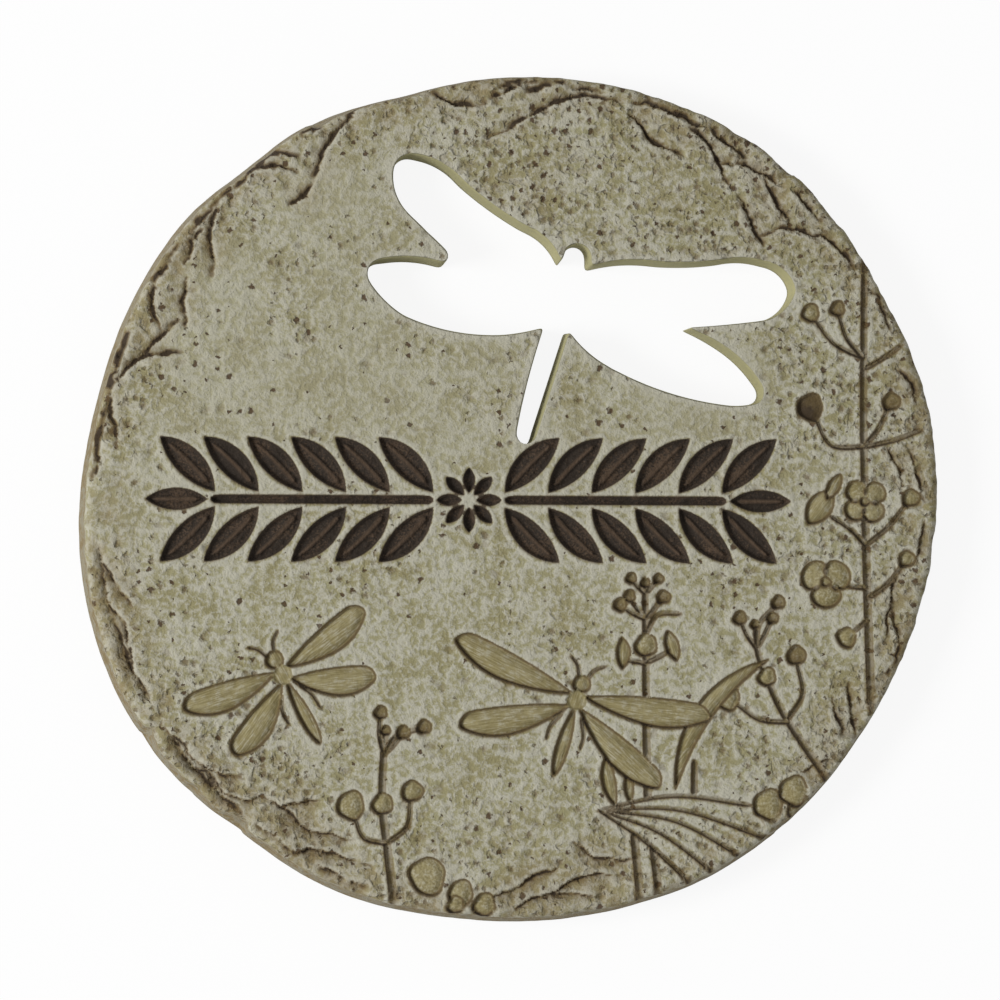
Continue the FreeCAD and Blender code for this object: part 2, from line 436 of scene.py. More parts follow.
@dataclass
class Opening:
    """The dragonfly cut right through the slab, with a bevelled mouth and walls that narrow downwards.

    The corners go clockwise from the left of the head. Each is measured from the thorax, with the rise of
    the arc that runs to the next corner, positive where the arc swells the opening.
    """

    thorax: Place = (18.7, 59.4)
    lean: float = 2.0
    lip: float = 0.4
    spacing: float = 0.85
    mitre_limit: float = 1.5
    softening: int = 3
    head: tuple[Triple, ...] = ((-4.5, 9.6, 0.0), (-3.0, 13.8, 2.5), (4.2, 11.7, 0.0))
    right_fore_wing: tuple[Triple, ...] = (
        (4.0, 8.4, 1.1), (23.8, 9.9, -0.5), (42.7, 10.5, 0.9),
        (55.8, 10.1, 1.9), (64.5, 1.9, 2.1), (54.5, -7.3, 0.2),
    )
    right_hind_wing: tuple[Triple, ...] = (
        (32.8, -9.4, 0.3), (43.1, -14.6, 0.8), (54.0, -25.4, 1.0),
        (54.2, -31.1, 0.5), (45.0, -32.3, 1.9), (9.2, -20.9, 0.9),
    )
    tail: tuple[Triple, ...] = ((-2.3, -10.6, 0.0), (-12.1, -41.4, 3.0), (-17.9, -41.2, 0.6))
    left_hind_wing: tuple[Triple, ...] = (
        (-9.7, -9.6, 0.3), (-21.8, -11.9, 1.8), (-51.0, -6.3, 0.85),
        (-61.4, 4.3, 2.0), (-57.1, 10.2, 1.2),
    )
    left_fore_wing: tuple[Triple, ...] = (
        (-38.8, 9.0, -0.8), (-38.0, 12.6, 0.0), (-49.1, 23.2, 1.8), (-53.9, 36.8, 1.9),
        (-46.8, 40.9, 1.4), (-33.6, 33.4, -0.6), (-14.8, 20.0, 1.7),
    )

    def ring(self, inset: float) -> Array:
        """The outline drawn in by an inset; every inset gives as many points.

        Each corner moves along the mean of its two sides' inward normals.

        Args:
            inset: distance inwards from the outline at the foot of the bevel, in millimetres.

        Returns:
            The outline's points, clockwise.
        """
        drawn = np.array(
            self.head + self.right_fore_wing + self.right_hind_wing
            + self.tail + self.left_hind_wing + self.left_fore_wing
        )
        corners = drawn[:, :2] + self.thorax
        chords = np.roll(corners, -1, axis=0) - corners
        lengths = np.linalg.norm(chords, axis=1)
        turns = np.degrees(np.arctan2(chords[:, 1], chords[:, 0]))
        halves = np.degrees(2.0 * np.arctan(2.0 * drawn[:, 2] / lengths))
        inward = heading(np.roll(turns - halves, 1) - 90.0) + heading(turns + halves - 90.0)
        size = np.linalg.norm(inward, axis=1)
        reach = np.minimum(2.0 / size, self.mitre_limit) * inset / size
        moved = corners + inward * reach[:, None]
        outline = arc_ring(moved, drawn[:, 2], arc_counts(corners, self.spacing))
        return softened(outline, self.softening)


# The carved figures

@dataclass(frozen=True)
class Profile:
    """A section through a sunk edge, in millimetres, and its stain.

    Fields:
        wall: how far in from the outline the wall ends.
        trench: the depth at the wall's foot.
        rise: how far beyond the wall the trench has climbed to the floor.
        floor: the depth of the floor.
        lip: the height of the swelling outside the outline.
        line: the stain along the outline, with painted shade on its shaded side, 0 to 1.
        fill: the stain on the floor, 0 to 1.
    """

    wall: float
    trench: float
    rise: float
    floor: float
    lip: float
    line: float
    fill: float


class Cut(Enum):
    """The ways a figure is sunk.

    A pillow is a domed floor in a trench, a berry the same but stained all over, a seed darker still, a
    body softer, and a pleat a shallow floor of the slab's own colour. A groove is narrow, a recess deep
    and flat, and a rib stands up in a recess.
    """

    PILLOW = Profile(wall=0.45, trench=1.45, rise=2.2, floor=0.5, lip=0.22, line=1.0, fill=0.0)
    BERRY = Profile(wall=0.45, trench=1.5, rise=2.4, floor=0.9, lip=0.2, line=1.0, fill=0.5)
    SEED = Profile(wall=0.45, trench=1.5, rise=2.4, floor=0.9, lip=0.2, line=1.0, fill=0.88)
    BODY = Profile(wall=0.9, trench=0.75, rise=1.8, floor=0.1, lip=0.0, line=0.3, fill=0.0)
    PLEAT = Profile(wall=0.5, trench=0.6, rise=3.0, floor=0.1, lip=0.15, line=0.6, fill=0.0)
    GROOVE = Profile(wall=0.7, trench=1.2, rise=0.6, floor=1.2, lip=0.12, line=0.95, fill=0.5)
    RECESS = Profile(wall=0.5, trench=2.0, rise=1.3, floor=1.75, lip=0.24, line=0.8, fill=0.0)
    RIB = Profile(wall=0.5, trench=1.35, rise=0.6, floor=1.25, lip=0.0, line=0.0, fill=0.0)


@dataclass
class Surface:
    """The face's points and what has been done to each.

    Fields:
        places: X and Y in millimetres.
        drop: depth of the carving below the blank face.
        rough: depth of the cement's own unevenness.
        worn: how much of that unevenness is smoothed away, 0 to 1.
        stain_and_shade: brown in the hollows, and shade painted beside figures and in breaks, 0 to 1.
        lift: pale brushing on the raised edges, 0 to 1.
        figure: 1 on a figure's domed floor.
        band: 1 on the floor of the band's recess.
        weather: how pitted the cement is, 0 to 1.
        wash: brown that has run over the face, 0 to 1.
        streak: a figure's own coordinates, along and across it, with a number for the figure.
    """

    places: Array
    drop: Array
    rough: Array
    worn: Array
    stain_and_shade: Array
    lift: Array
    figure: Array
    band: Array
    weather: Array
    wash: Array
    streak: Array

    @classmethod
    def blank(cls, places: Array) -> "Surface":
        """An uncarved face through these places."""
        zeros = [np.zeros(len(places)) for _ in fields(cls)[1:-1]]
        return cls(places, *zeros, np.zeros((len(places), 3)))

    def near(self, line: Array, margin: float) -> Array:
        """The points in a line's box, widened by a margin.

        Args:
            line: the line's points.
            margin: how much wider the box is on each side.

        Returns:
            The numbers of the points.
        """
        low = line.min(axis=0) - margin
        high = line.max(axis=0) + margin
        return np.flatnonzero(((self.places > low) & (self.places < high)).all(axis=1))


# The way that a shaded wall faces; the figures' painted shade and shadow are darkest on that side
SHADED_SIDE = heading(-125.0)

# How the mesh follows a figure, in millimetres: the fine band beside its edge, the line at its wall's
# foot, the room kept beside such lines, a narrow figure's outer row, and the half width with inner rows
EDGE_BAND = 0.8
WALL_FOOT = 0.5
CLEARANCE = 0.26
SHOULDER = 0.45
ROOMY = 0.68

# How far from its outline a figure changes the face, and how its streaks are drawn and set apart
FIGURE_MARGIN = 3.0
DRAWN = (1.0, 1.0)
EVEN = (6.0, 0.6)
STREAK_STEP = 7.0


@dataclass
class Figure:
    """One closed outline sunk into the face.

    Fields:
        ring: the outline's points.
        cut: how it is sunk.
        root: where its grain starts.
        grain: the heading of its grain, in degrees.
        deepness: the share of the cut's full depth.
        spine: the middle of a narrow figure, which the mesh follows.
        stretch: how its grain is drawn, along and across; EVEN draws it the same all ways.
    """

    ring: Array
    cut: Cut
    root: Place = (0.0, 0.0)
    grain: float = 0.0
    deepness: float = 1.0
    spine: Array | None = None
    stretch: tuple[float, float] = DRAWN

    def edges(self, surface: Surface) -> tuple[Array, Array]:
        """Where the mesh has to be fine along the figure's edge.

        Args:
            surface: the places to choose from.

        Returns:
            The numbers of the places close to the edge, and of those that crowd its traced lines.
        """
        near = surface.near(self.ring, EDGE_BAND)
        depth, _ = ring_depth(surface.places[near], self.ring)
        close = near[(depth > -EDGE_BAND) & (depth < WALL_FOOT + EDGE_BAND)]
        outer, inner = CLEARANCE, WALL_FOOT + CLEARANCE
        if self.spine is not None:
            outer, inner = SHOULDER + CLEARANCE, math.inf
        crowded = near[(depth > -outer) & (depth < inner)]
        return close, crowded

    def traced(self, spacing: float) -> Array:
        """Points for the mesh along the outline and the foot of its wall, or in rows along the spine.

        Args:
            spacing: the distance between points.

        Returns:
            The points.
        """
        if self.spine is not None:
            return self.rows(spaced(self.spine, spacing))
        outline = spaced(np.vstack([self.ring, self.ring[:1]]), spacing)[:-1]
        tangent = np.roll(outline, -1, axis=0) - np.roll(outline, 1, axis=0)
        tangent /= np.maximum(np.linalg.norm(tangent, axis=1), 1e-9)[:, None]
        normal = np.stack([-tangent[:, 1], tangent[:, 0]], axis=1)
        foot = np.vstack([outline + WALL_FOOT * normal, outline - WALL_FOOT * normal])
        depth, _ = ring_depth(foot, self.ring)
        return np.vstack([outline, foot[depth > 0.7 * WALL_FOOT]])

    def rows(self, middle: Array) -> Array:
        """Rows of points side by side: the middle, and the wall, outline and shoulder of each side.

        Args:
            middle: points along the spine.

        Returns:
            The points of every row.
        """
        normal = left_normals(middle)
        half, _ = ring_depth(middle, self.ring)
        roomy = half > ROOMY
        found = [middle]
        for side in (-1.0, 1.0):
            for reach in (half, half + SHOULDER):
                found.append(middle + side * reach[:, None] * normal)
            found.append((middle + 0.5 * side * half[:, None] * normal)[roomy])
        return np.vstack(found)

    def depths(self, spots: Array) -> tuple[Array, Array]:
        """How far spots lie inside the outline, and which way leads out.

        Args:
            spots: the places to measure.

        Returns:
            The depth, negative outside, and the way out, which shrinks to nothing at a spine.
        """
        depth, outward = ring_depth(spots, self.ring)
        if self.spine is not None:
            gap, _, _ = line_offsets(spots, self.spine[:-1], self.spine[1:])
            reach = np.linalg.norm(gap, axis=1) + np.maximum(depth, 0.0)
            outward = gap / np.maximum(reach, 1e-6)[:, None]
        return depth, outward

    def press(self, surface: Surface, number: int) -> None:
        """Sink the figure over whatever is already there.

        Going in from the outline, the face falls down a wall to the trench and rises again to the floor,
        and it stands up in a small lip outside. The stain is a line along the outline, with painted shade:
        it is darkest and widest on the shaded side, where a painted shadow also darkens the face outside,
        and shade is painted just inside the outline, over the trench.

        Args:
            surface: the face, which is changed.
            number: the figure's number, which sets its grain apart.
        """
        near = surface.near(self.ring, FIGURE_MARGIN)
        if len(near) == 0:
            return
        spots = surface.places[near]
        depth, outward = self.depths(spots)
        shaded = 0.5 + 0.5 * outward @ SHADED_SIDE
        cut = self.cut.value
        inside = ease(-0.25, 0.2, depth)
        outside = 1.0 - inside
        shelf = cut.trench + (cut.floor - cut.trench) * ease(0.5 * cut.wall, cut.wall + cut.rise, depth)
        steep = 1.0 + 0.3 * (shaded - 0.5) * (1.0 - ease(0.6, 2.0, depth))
        sunk = self.deepness * ease(-0.1, cut.wall, depth) * shelf * steep
        lip = cut.lip * bell(depth, -0.75, 0.6)
        # Painted shade: a darker, wider line and a shadow outside on the shaded side, and darkening inside
        line = cut.line * bell(depth, 0.2, 0.26 + 0.4 * shaded) * (0.55 + 0.5 * shaded)
        shade = 0.4 * cut.line * shaded ** 2 * bell(depth, -0.4, 0.5)
        soak_and_shade = cut.fill * (0.75 + 0.25 * shaded) * ease(0.0, 0.4, depth)
        soak_and_shade = np.maximum(soak_and_shade, 0.3 * cut.line * inside * (1.0 - ease(0.3, 2.3, depth)))
        pale = bell(depth, -0.75 - 0.7 * shaded, 0.42)
        surface.drop[near] = surface.drop[near] * outside + sunk * inside - lip * outside
        surface.worn[near] = np.maximum(surface.worn[near], 0.75 * inside)
        marked = np.minimum(np.maximum.reduce([line, shade, soak_and_shade]), 1.0)
        surface.stain_and_shade[near] = np.maximum(surface.stain_and_shade[near] * outside, marked)
        is_floor = float(self.cut in (Cut.PILLOW, Cut.BODY, Cut.BERRY, Cut.SEED))
        is_recess = float(self.cut in (Cut.RECESS, Cut.RIB))
        is_rib = float(self.cut is Cut.RIB)
        raised = np.maximum(pale * outside * (1.0 - is_rib), is_rib * inside)
        surface.lift[near] = np.maximum(surface.lift[near] * outside, raised)
        surface.figure[near] = surface.figure[near] * outside + is_floor * inside
        surface.band[near] = surface.band[near] * outside + is_recess * inside
        along = heading(self.grain)
        across = heading(self.grain + 90.0)
        gap = spots - np.array(self.root)
        long, broad = self.stretch
        apart = np.full(len(near), STREAK_STEP * number)
        own = np.stack([long * gap @ along, broad * gap @ across, apart], axis=1)
        held = near[depth > 0.0]
        surface.streak[held] = own[depth > 0.0]


def blade_ring(root: Place, angle: float, length: float, width: float,
               widest: float = 0.6, bow: float = 0.0, lead: float = 0.5, blunt: float = 0.7) -> Array:
    """A wing, leaf or petal: its width is sin(pi t^k)^blunt along a midrib that bows by 4t(1 - t).

    Args:
        root: where it grows from.
        angle: the direction of its tip, in degrees.
        length: from root to tip.
        width: at its widest.
        widest: where along it that is, which sets k.
        bow: how far the midrib swings to the left of a straight line.
        lead: the share of the width on the left of the midrib.
        blunt: how full the ends are; 1 is pointed, and less is rounder.

    Returns:
        The outline's points.
    """
    share = 0.5 - 0.5 * np.cos(np.pi * np.linspace(0.0, 1.0, 44))
    power = math.log(0.5) / math.log(widest)
    spread = width * np.sin(np.pi * share ** power).clip(0.0) ** blunt
    midrib = 4.0 * bow * share * (1.0 - share)
    along = np.concatenate([share, share[-2:0:-1]]) * length
    across = np.concatenate([midrib + lead * spread, (midrib - (1.0 - lead) * spread)[-2:0:-1]])
    return np.array(root) + along[:, None] * heading(angle) + across[:, None] * heading(angle + 90.0)


def leaf_ring(root: Array, angle: float, length: float, width: float, bow: float = 0.0) -> Array:
    """A leaf of two arcs from root to tip and back, the left one swelled by bow and the right one less.

    Args:
        root: where it grows from.
        angle: the direction of its tip, in degrees.
        length: from root to tip.
        width: at its widest.
        bow: how far its middle swings to the left.

    Returns:
        The outline's points.
    """
    corners = np.array([root, root + length * heading(angle)])
    return arc_ring(corners, (width / 2.0 + bow, width / 2.0 - bow), np.array([26, 26]))


def stem_ring(path: Array, root_width: float, tip_width: float) -> Array:
    """A groove along a path: its width goes evenly from root to tip, and its ends are round.

    Args:
        path: the middle of the groove, from root to tip.
        root_width: at the start of the path.
        tip_width: at its end.

    Returns:
        The outline's points.
    """
    normal = left_normals(path)
    gone = gone_along(path)
    half = np.linspace(root_width, tip_width, len(path)) / 2.0
    ends = np.minimum(gone, gone[-1] - gone) / half
    half = half * np.sqrt(np.clip(ends, 0.12, 1.0))
    return np.vstack([path + half[:, None] * normal, (path - half[:, None] * normal)[::-1]])


def groove(path: Array, root_width: float, tip_width: float, deepness: float = 1.0) -> Figure:
    """A groove along a path, with its grain running from end to end.

    Args:
        path: the middle of the groove, from root to tip.
        root_width: at the start of the path.
        tip_width: at its end.
        deepness: the share of a groove's full depth.

    Returns:
        The figure.
    """
    run = path[-1] - path[0]
    grain = math.degrees(math.atan2(run[1], run[0]))
    ring = stem_ring(path, root_width, tip_width)
    return Figure(ring, Cut.GROOVE, tuple(path[0]), grain, deepness, path)


def bud_ring(middle: Place, radius: float, turn: float = 0.0, lumpy: float = 1.0) -> Array:
    """A bud or berry: a circle with lumps of 0.06 cos 3a, 0.04 cos 2a and 0.03 cos 5a of its radius.

    Args:
        middle: its middle.
        radius: without the lumps.
        turn: how far the lumps are turned, in degrees.
        lumpy: the share of the lumps' full height.

    Returns:
        The outline's points.
    """
    angle = np.linspace(0.0, 360.0, 48, endpoint=False)
    lumps = 0.06 * np.cos(np.radians(3.0 * angle + turn)) + 0.04 * np.cos(np.radians(2.0 * angle - turn))
    lumps = lumpy * (lumps + 0.03 * np.cos(np.radians(5.0 * angle - 2.0 * turn)))
    return np.array(middle) + (radius * (1.0 + lumps))[:, None] * heading(angle)


def flower_figures(middle: Place, radius: float, turn: float, petals: int) -> list[Figure]:
    """An open flower of round petals, with a line between petals and an eye in the middle.

    Its outline is radius (0.56 + 0.44 |cos(n a / 2)|^0.5) for n petals.

    Args:
        middle: the eye's place.
        radius: of the petals' tips.
        turn: the direction of the first petal, in degrees.
        petals: how many there are.

    Returns:
        The flower's figures, in the order they are sunk.
    """
    angle = np.linspace(0.0, 360.0, 90, endpoint=False)
    swell = 0.56 + 0.44 * np.abs(np.cos(np.radians(petals * angle / 2.0))) ** 0.5
    eye = np.array(middle)
    ring = eye + (radius * swell)[:, None] * heading(angle + turn)
    figures = [Figure(ring, Cut.PILLOW, middle, turn, stretch=EVEN)]
    for petal in range(petals):
        ray = heading(turn + (petal + 0.5) * 360.0 / petals)
        line = np.linspace(eye + 0.28 * radius * ray, eye + 0.54 * radius * ray, 8)
        figures.append(groove(line, 0.8, 1.3, 0.75))
    figures.append(Figure(bud_ring(middle, 0.2 * radius), Cut.PILLOW, middle, turn, 0.8, stretch=EVEN))
    return figures


@dataclass
class Dragonfly:
    """A sunk dragonfly with four wings, a head, a tail, short feelers and two legs.

    A wing goes from its root round by its front edge. Each corner is a share of the wing's length along it
    and of its width across it, positive towards the head, and then the swell of the edge to the next
    corner as a share of the width.
    """

    thorax: Place
    angle: float
    wing_length: float
    wing_width: float = 9.8
    hind_share: float = 0.87
    fore_turn: float = 80.0
    hind_turn: float = 115.0
    wing: tuple[Triple, ...] = (
        (0.0, 0.0, 0.09), (0.85, 0.23, 0.12), (0.98, -0.21, 0.17), (0.5, -0.62, 0.08),
    )
    wing_spacing: float = 0.8
    softening: int = 2
    tail_length: float = 20.5
    tail_width: float = 3.9
    head_radius: float = 2.7
    head_step: float = 5.0
    thorax_radius: float = 2.9
    feeler: tuple[Place, Place, Place] = ((7.0, 1.2), (3.4, 24.0), (3.2, 52.0))
    leg: tuple[Place, Place, Place] = ((-4.6, 3.0), (5.0, 156.0), (4.4, 178.0))

    def figures(self) -> list[Figure]:
        """The parts in the order they are sunk: tail, feelers, legs and wings, and the body over them.

        Returns:
            The figures.
        """
        middle = np.array(self.thorax)
        ahead = heading(self.angle)
        tail = blade_ring(
            tuple(middle - 2.4 * ahead), self.angle + 180.0, self.tail_length, self.tail_width,
            widest=0.58, blunt=0.5,
        )
        found = [Figure(tail, Cut.PILLOW, self.thorax, self.angle, 0.9)]
        for side in (-1.0, 1.0):
            found += [groove(self.limb(pieces, side), 1.2, 0.8) for pieces in (self.feeler, self.leg)]
            for step, turn, share in ((-1.2, self.hind_turn, self.hind_share), (1.4, self.fore_turn, 1.0)):
                angle = self.angle + side * turn
                root = middle + step * ahead + 1.2 * heading(angle)
                ring = self.wing_ring(root, angle, share * self.wing_length, side)
                found.append(Figure(ring, Cut.PILLOW, tuple(root), angle))
        place = tuple(middle + self.head_step * ahead)
        head = bud_ring(place, self.head_radius, self.angle, 0.5)
        found.append(Figure(head, Cut.PILLOW, place, self.angle))
        chest = bud_ring(self.thorax, self.thorax_radius, self.angle, 0.5)
        found.append(Figure(chest, Cut.BODY, self.thorax, self.angle))
        return found

    def wing_ring(self, root: Array, angle: float, length: float, side: float) -> Array:
        """One wing's outline.

        Args:
            root: where it grows from.
            angle: the direction of its tip, in degrees.
            length: from root to tip.
            side: 1 on the dragonfly's left and -1 on its right.

        Returns:
            The outline's points.
        """
        reach, across, swell = np.array(self.wing).T
        front = heading(angle - side * 90.0)
        corners = root + length * reach[:, None] * heading(angle)
        corners = corners + self.wing_width * across[:, None] * front
        counts = arc_counts(corners, self.wing_spacing)
        return softened(arc_ring(corners, -side * self.wing_width * swell, counts), self.softening)

    def limb(self, pieces: tuple[Place, Place, Place], side: float) -> Array:
        """The middle of a feeler or a leg.

        Args:
            pieces: its root's steps ahead and aside, and the length and turn of its two pieces.
            side: 1 on the dragonfly's left and -1 on its right.

        Returns:
            The points of the line.
        """
        (ahead, aside), (upper, bend), (lower, curl) = pieces
        across = heading(self.angle + 90.0)
        root = np.array(self.thorax) + ahead * heading(self.angle) + side * aside * across
        knee = root + upper * heading(self.angle + side * bend)
        return smooth_path([root, knee, knee + lower * heading(self.angle + side * curl)])


class Head(Enum):
    """What a shoot ends in."""

    BARE = "bare"
    BUD = "bud"
    BERRY = "berry"
    SEED = "seed"
    FLOWER = "flower"


@dataclass(frozen=True)
class Shoot:
    """A side shoot of a sprig.

    Fields:
        share: its place on the stem, 0 at the stem's root and 1 at its tip.
        turn: the angle at which it leaves the stem, positive to the left.
        length: of its stalk; 0 seats the head on the stem.
        head: what it ends in.
        size: the head's radius.
        curl: how far it bends back towards the stem's own direction; a negative one bends away.
        petals: how many a flower has.
        twist: how far the flower's first petal is turned from the stalk's direction.
    """

    share: float
    turn: float
    length: float
    head: Head = Head.BUD
    size: float = 2.6
    curl: float = 28.0
    petals: int = 4
    twist: float = 0.0

    def figures(self, stem: Array) -> tuple[list[Figure], list[Figure]]:
        """The stalk, which is sunk first, and the head.

        Args:
            stem: the sprig's stem, from root to tip.

        Returns:
            The stalk's figures and the head's figures.
        """
        at = min(max(round(self.share * (len(stem) - 1)), 1), len(stem) - 2)
        step = stem[at + 1] - stem[at - 1]
        leave = math.degrees(math.atan2(step[1], step[0])) + self.turn
        arrive = leave - self.curl * math.copysign(1.0, self.turn)
        start = stem[at]
        bend = start + 0.5 * self.length * heading(leave)
        end = bend + 0.5 * self.length * heading(arrive)
        stalks = []
        if self.length > 0.0:
            stalks.append(groove(smooth_path([start, bend, end]), 1.5, 1.2))
        seat = tuple(end + (0.8 * self.size if self.length > 0.0 else 0.0) * heading(arrive))
        heads = []
        round_cuts = {Head.BUD: Cut.PILLOW, Head.BERRY: Cut.BERRY, Head.SEED: Cut.SEED}
        if self.head in round_cuts:
            cut = round_cuts[self.head]
            heads.append(Figure(bud_ring(seat, self.size, leave), cut, seat, arrive, stretch=EVEN))
        elif self.head is Head.FLOWER:
            heads += flower_figures(seat, self.size, arrive + self.twist, self.petals)
        return stalks, heads


@dataclass
class Sprig:
    """A plant: a grooved stem with side shoots."""

    stem: tuple[Place, ...]
    width: float
    shoots: tuple[Shoot, ...]

    def figures(self) -> list[Figure]:
        """The stem and every stalk, and then the heads on top of them.

        Returns:
            The figures, in the order they are sunk.
        """
        path = smooth_path(self.stem)
        stalks = [groove(path, self.width, 0.75 * self.width)]
        heads = []
        for shoot in self.shoots:
            stalk, head = shoot.figures(path)
            stalks += stalk
            heads += head
        return stalks + heads


@dataclass
class FanLeaf:
    """A broad pleated leaf: grooves that spread from its tip, swing upwards and run out to the rim.

    Each pleat has the place halfway along its groove and the place where it ends.
    """

    tip: Place = (25.0, -91.5)
    pleats: tuple[tuple[Place, Place], ...] = (
        ((47.0, -87.4), (70.0, -90.0)), ((49.5, -91.5), (77.0, -100.5)), ((48.0, -94.8), (69.0, -106.0)),
        ((43.0, -98.0), (61.0, -111.0)), ((39.0, -100.8), (54.0, -114.5)),
    )

    def figures(self) -> list[Figure]:
        """The leaf's shallow floor, which covers what grows behind it, and a groove for each pleat.

        Returns:
            The figures, in the order they are sunk.
        """
        paths = [smooth_path([self.tip, middle, end]) for middle, end in self.pleats]
        ends = [path[-1:] for path in paths[1:-1]]
        floor = np.vstack([paths[0], *ends, paths[-1][::-1]])
        return [Figure(floor, Cut.PLEAT)] + [groove(path, 0.8, 1.4) for path in paths]


@dataclass
class LaurelBand:
    """A band of laurel across the middle of the face, sunk deep and stained dark."""

    middle: Place = (-13.0, -1.0)
    pairs: int = 6
    pitch: float = 12.8
    gap: float = 1.1
    stem_width: float = 2.4
    leaf_length: float = 22.5
    leaf_angle: float = 45.0
    leaf_bow: float = 0.7
    end_share: float = 0.8
    rib_width: float = 0.9
    petals: int = 8
    rosette_radius: float = 9.5
    eye_radius: float = 2.2

    def figures(self) -> list[Figure]:
        """The two halves, each a stem with leaf pairs and an end leaf, and a rosette between them.

        Returns:
            The figures, in the order they are sunk.
        """
        middle = np.array(self.middle)
        leaf_width = self.pitch * math.sin(math.radians(self.leaf_angle)) - self.gap
        first = self.rosette_radius + self.gap
        stem_end = first + (self.pairs - 1) * self.pitch + self.gap
        found = []
        for side in (-1.0, 1.0):
            out = 90.0 - 90.0 * side
            along = heading(out)
            stem = np.linspace(middle + first * along, middle + stem_end * along, 60)
            found.append(Figure(stem_ring(stem, self.stem_width, self.stem_width), Cut.RECESS))
            end_root = middle + (stem_end + self.gap) * along
            end_length, end_width = self.end_share * self.leaf_length, self.end_share * leaf_width
            found += self.leaf(end_root, out, end_length, end_width, 0.0)
            for pair in range(self.pairs):
                for fall in (-1.0, 1.0):
                    root = middle + (first + pair * self.pitch) * along
                    root = root + fall * np.array([0.0, self.stem_width / 2.0 + self.gap])
                    turn = side * fall
                    angle = out + turn * self.leaf_angle
                    found += self.leaf(root, angle, self.leaf_length, leaf_width, turn * self.leaf_bow)
        petal_turn = 360.0 / self.petals
        spread = (self.eye_radius + self.rosette_radius) * math.sin(math.radians(petal_turn / 2.0))
        for angle in petal_turn * np.arange(self.petals):
            root = middle + self.eye_radius * heading(angle)
            ring = leaf_ring(root, angle, self.rosette_radius - self.eye_radius, spread - self.gap)
            found.append(Figure(ring, Cut.RECESS, tuple(root), angle))
        return found

    def leaf(self, root: Array, angle: float, length: float, width: float, bow: float) -> list[Figure]:
        """One leaf with a midrib that stands up from its floor.

        Args:
            root: where it grows from.
            angle: the direction of its tip, in degrees.
            length: from root to tip.
            width: at its widest.
            bow: how far it swings to the left.

        Returns:
            The leaf and its midrib.
        """
        reach = np.linspace(0.16, 0.84, 24)
        rib = root + length * reach[:, None] * heading(angle)
        rib = rib + (4.0 * bow * reach * (1.0 - reach))[:, None] * heading(angle + 90.0)
        blade = leaf_ring(root, angle, length, width, bow)
        midrib = stem_ring(rib, self.rib_width, 0.6 * self.rib_width)
        return [
            Figure(blade, Cut.RECESS, tuple(root), angle),
            Figure(midrib, Cut.RIB, tuple(root), angle, spine=rib),
        ]


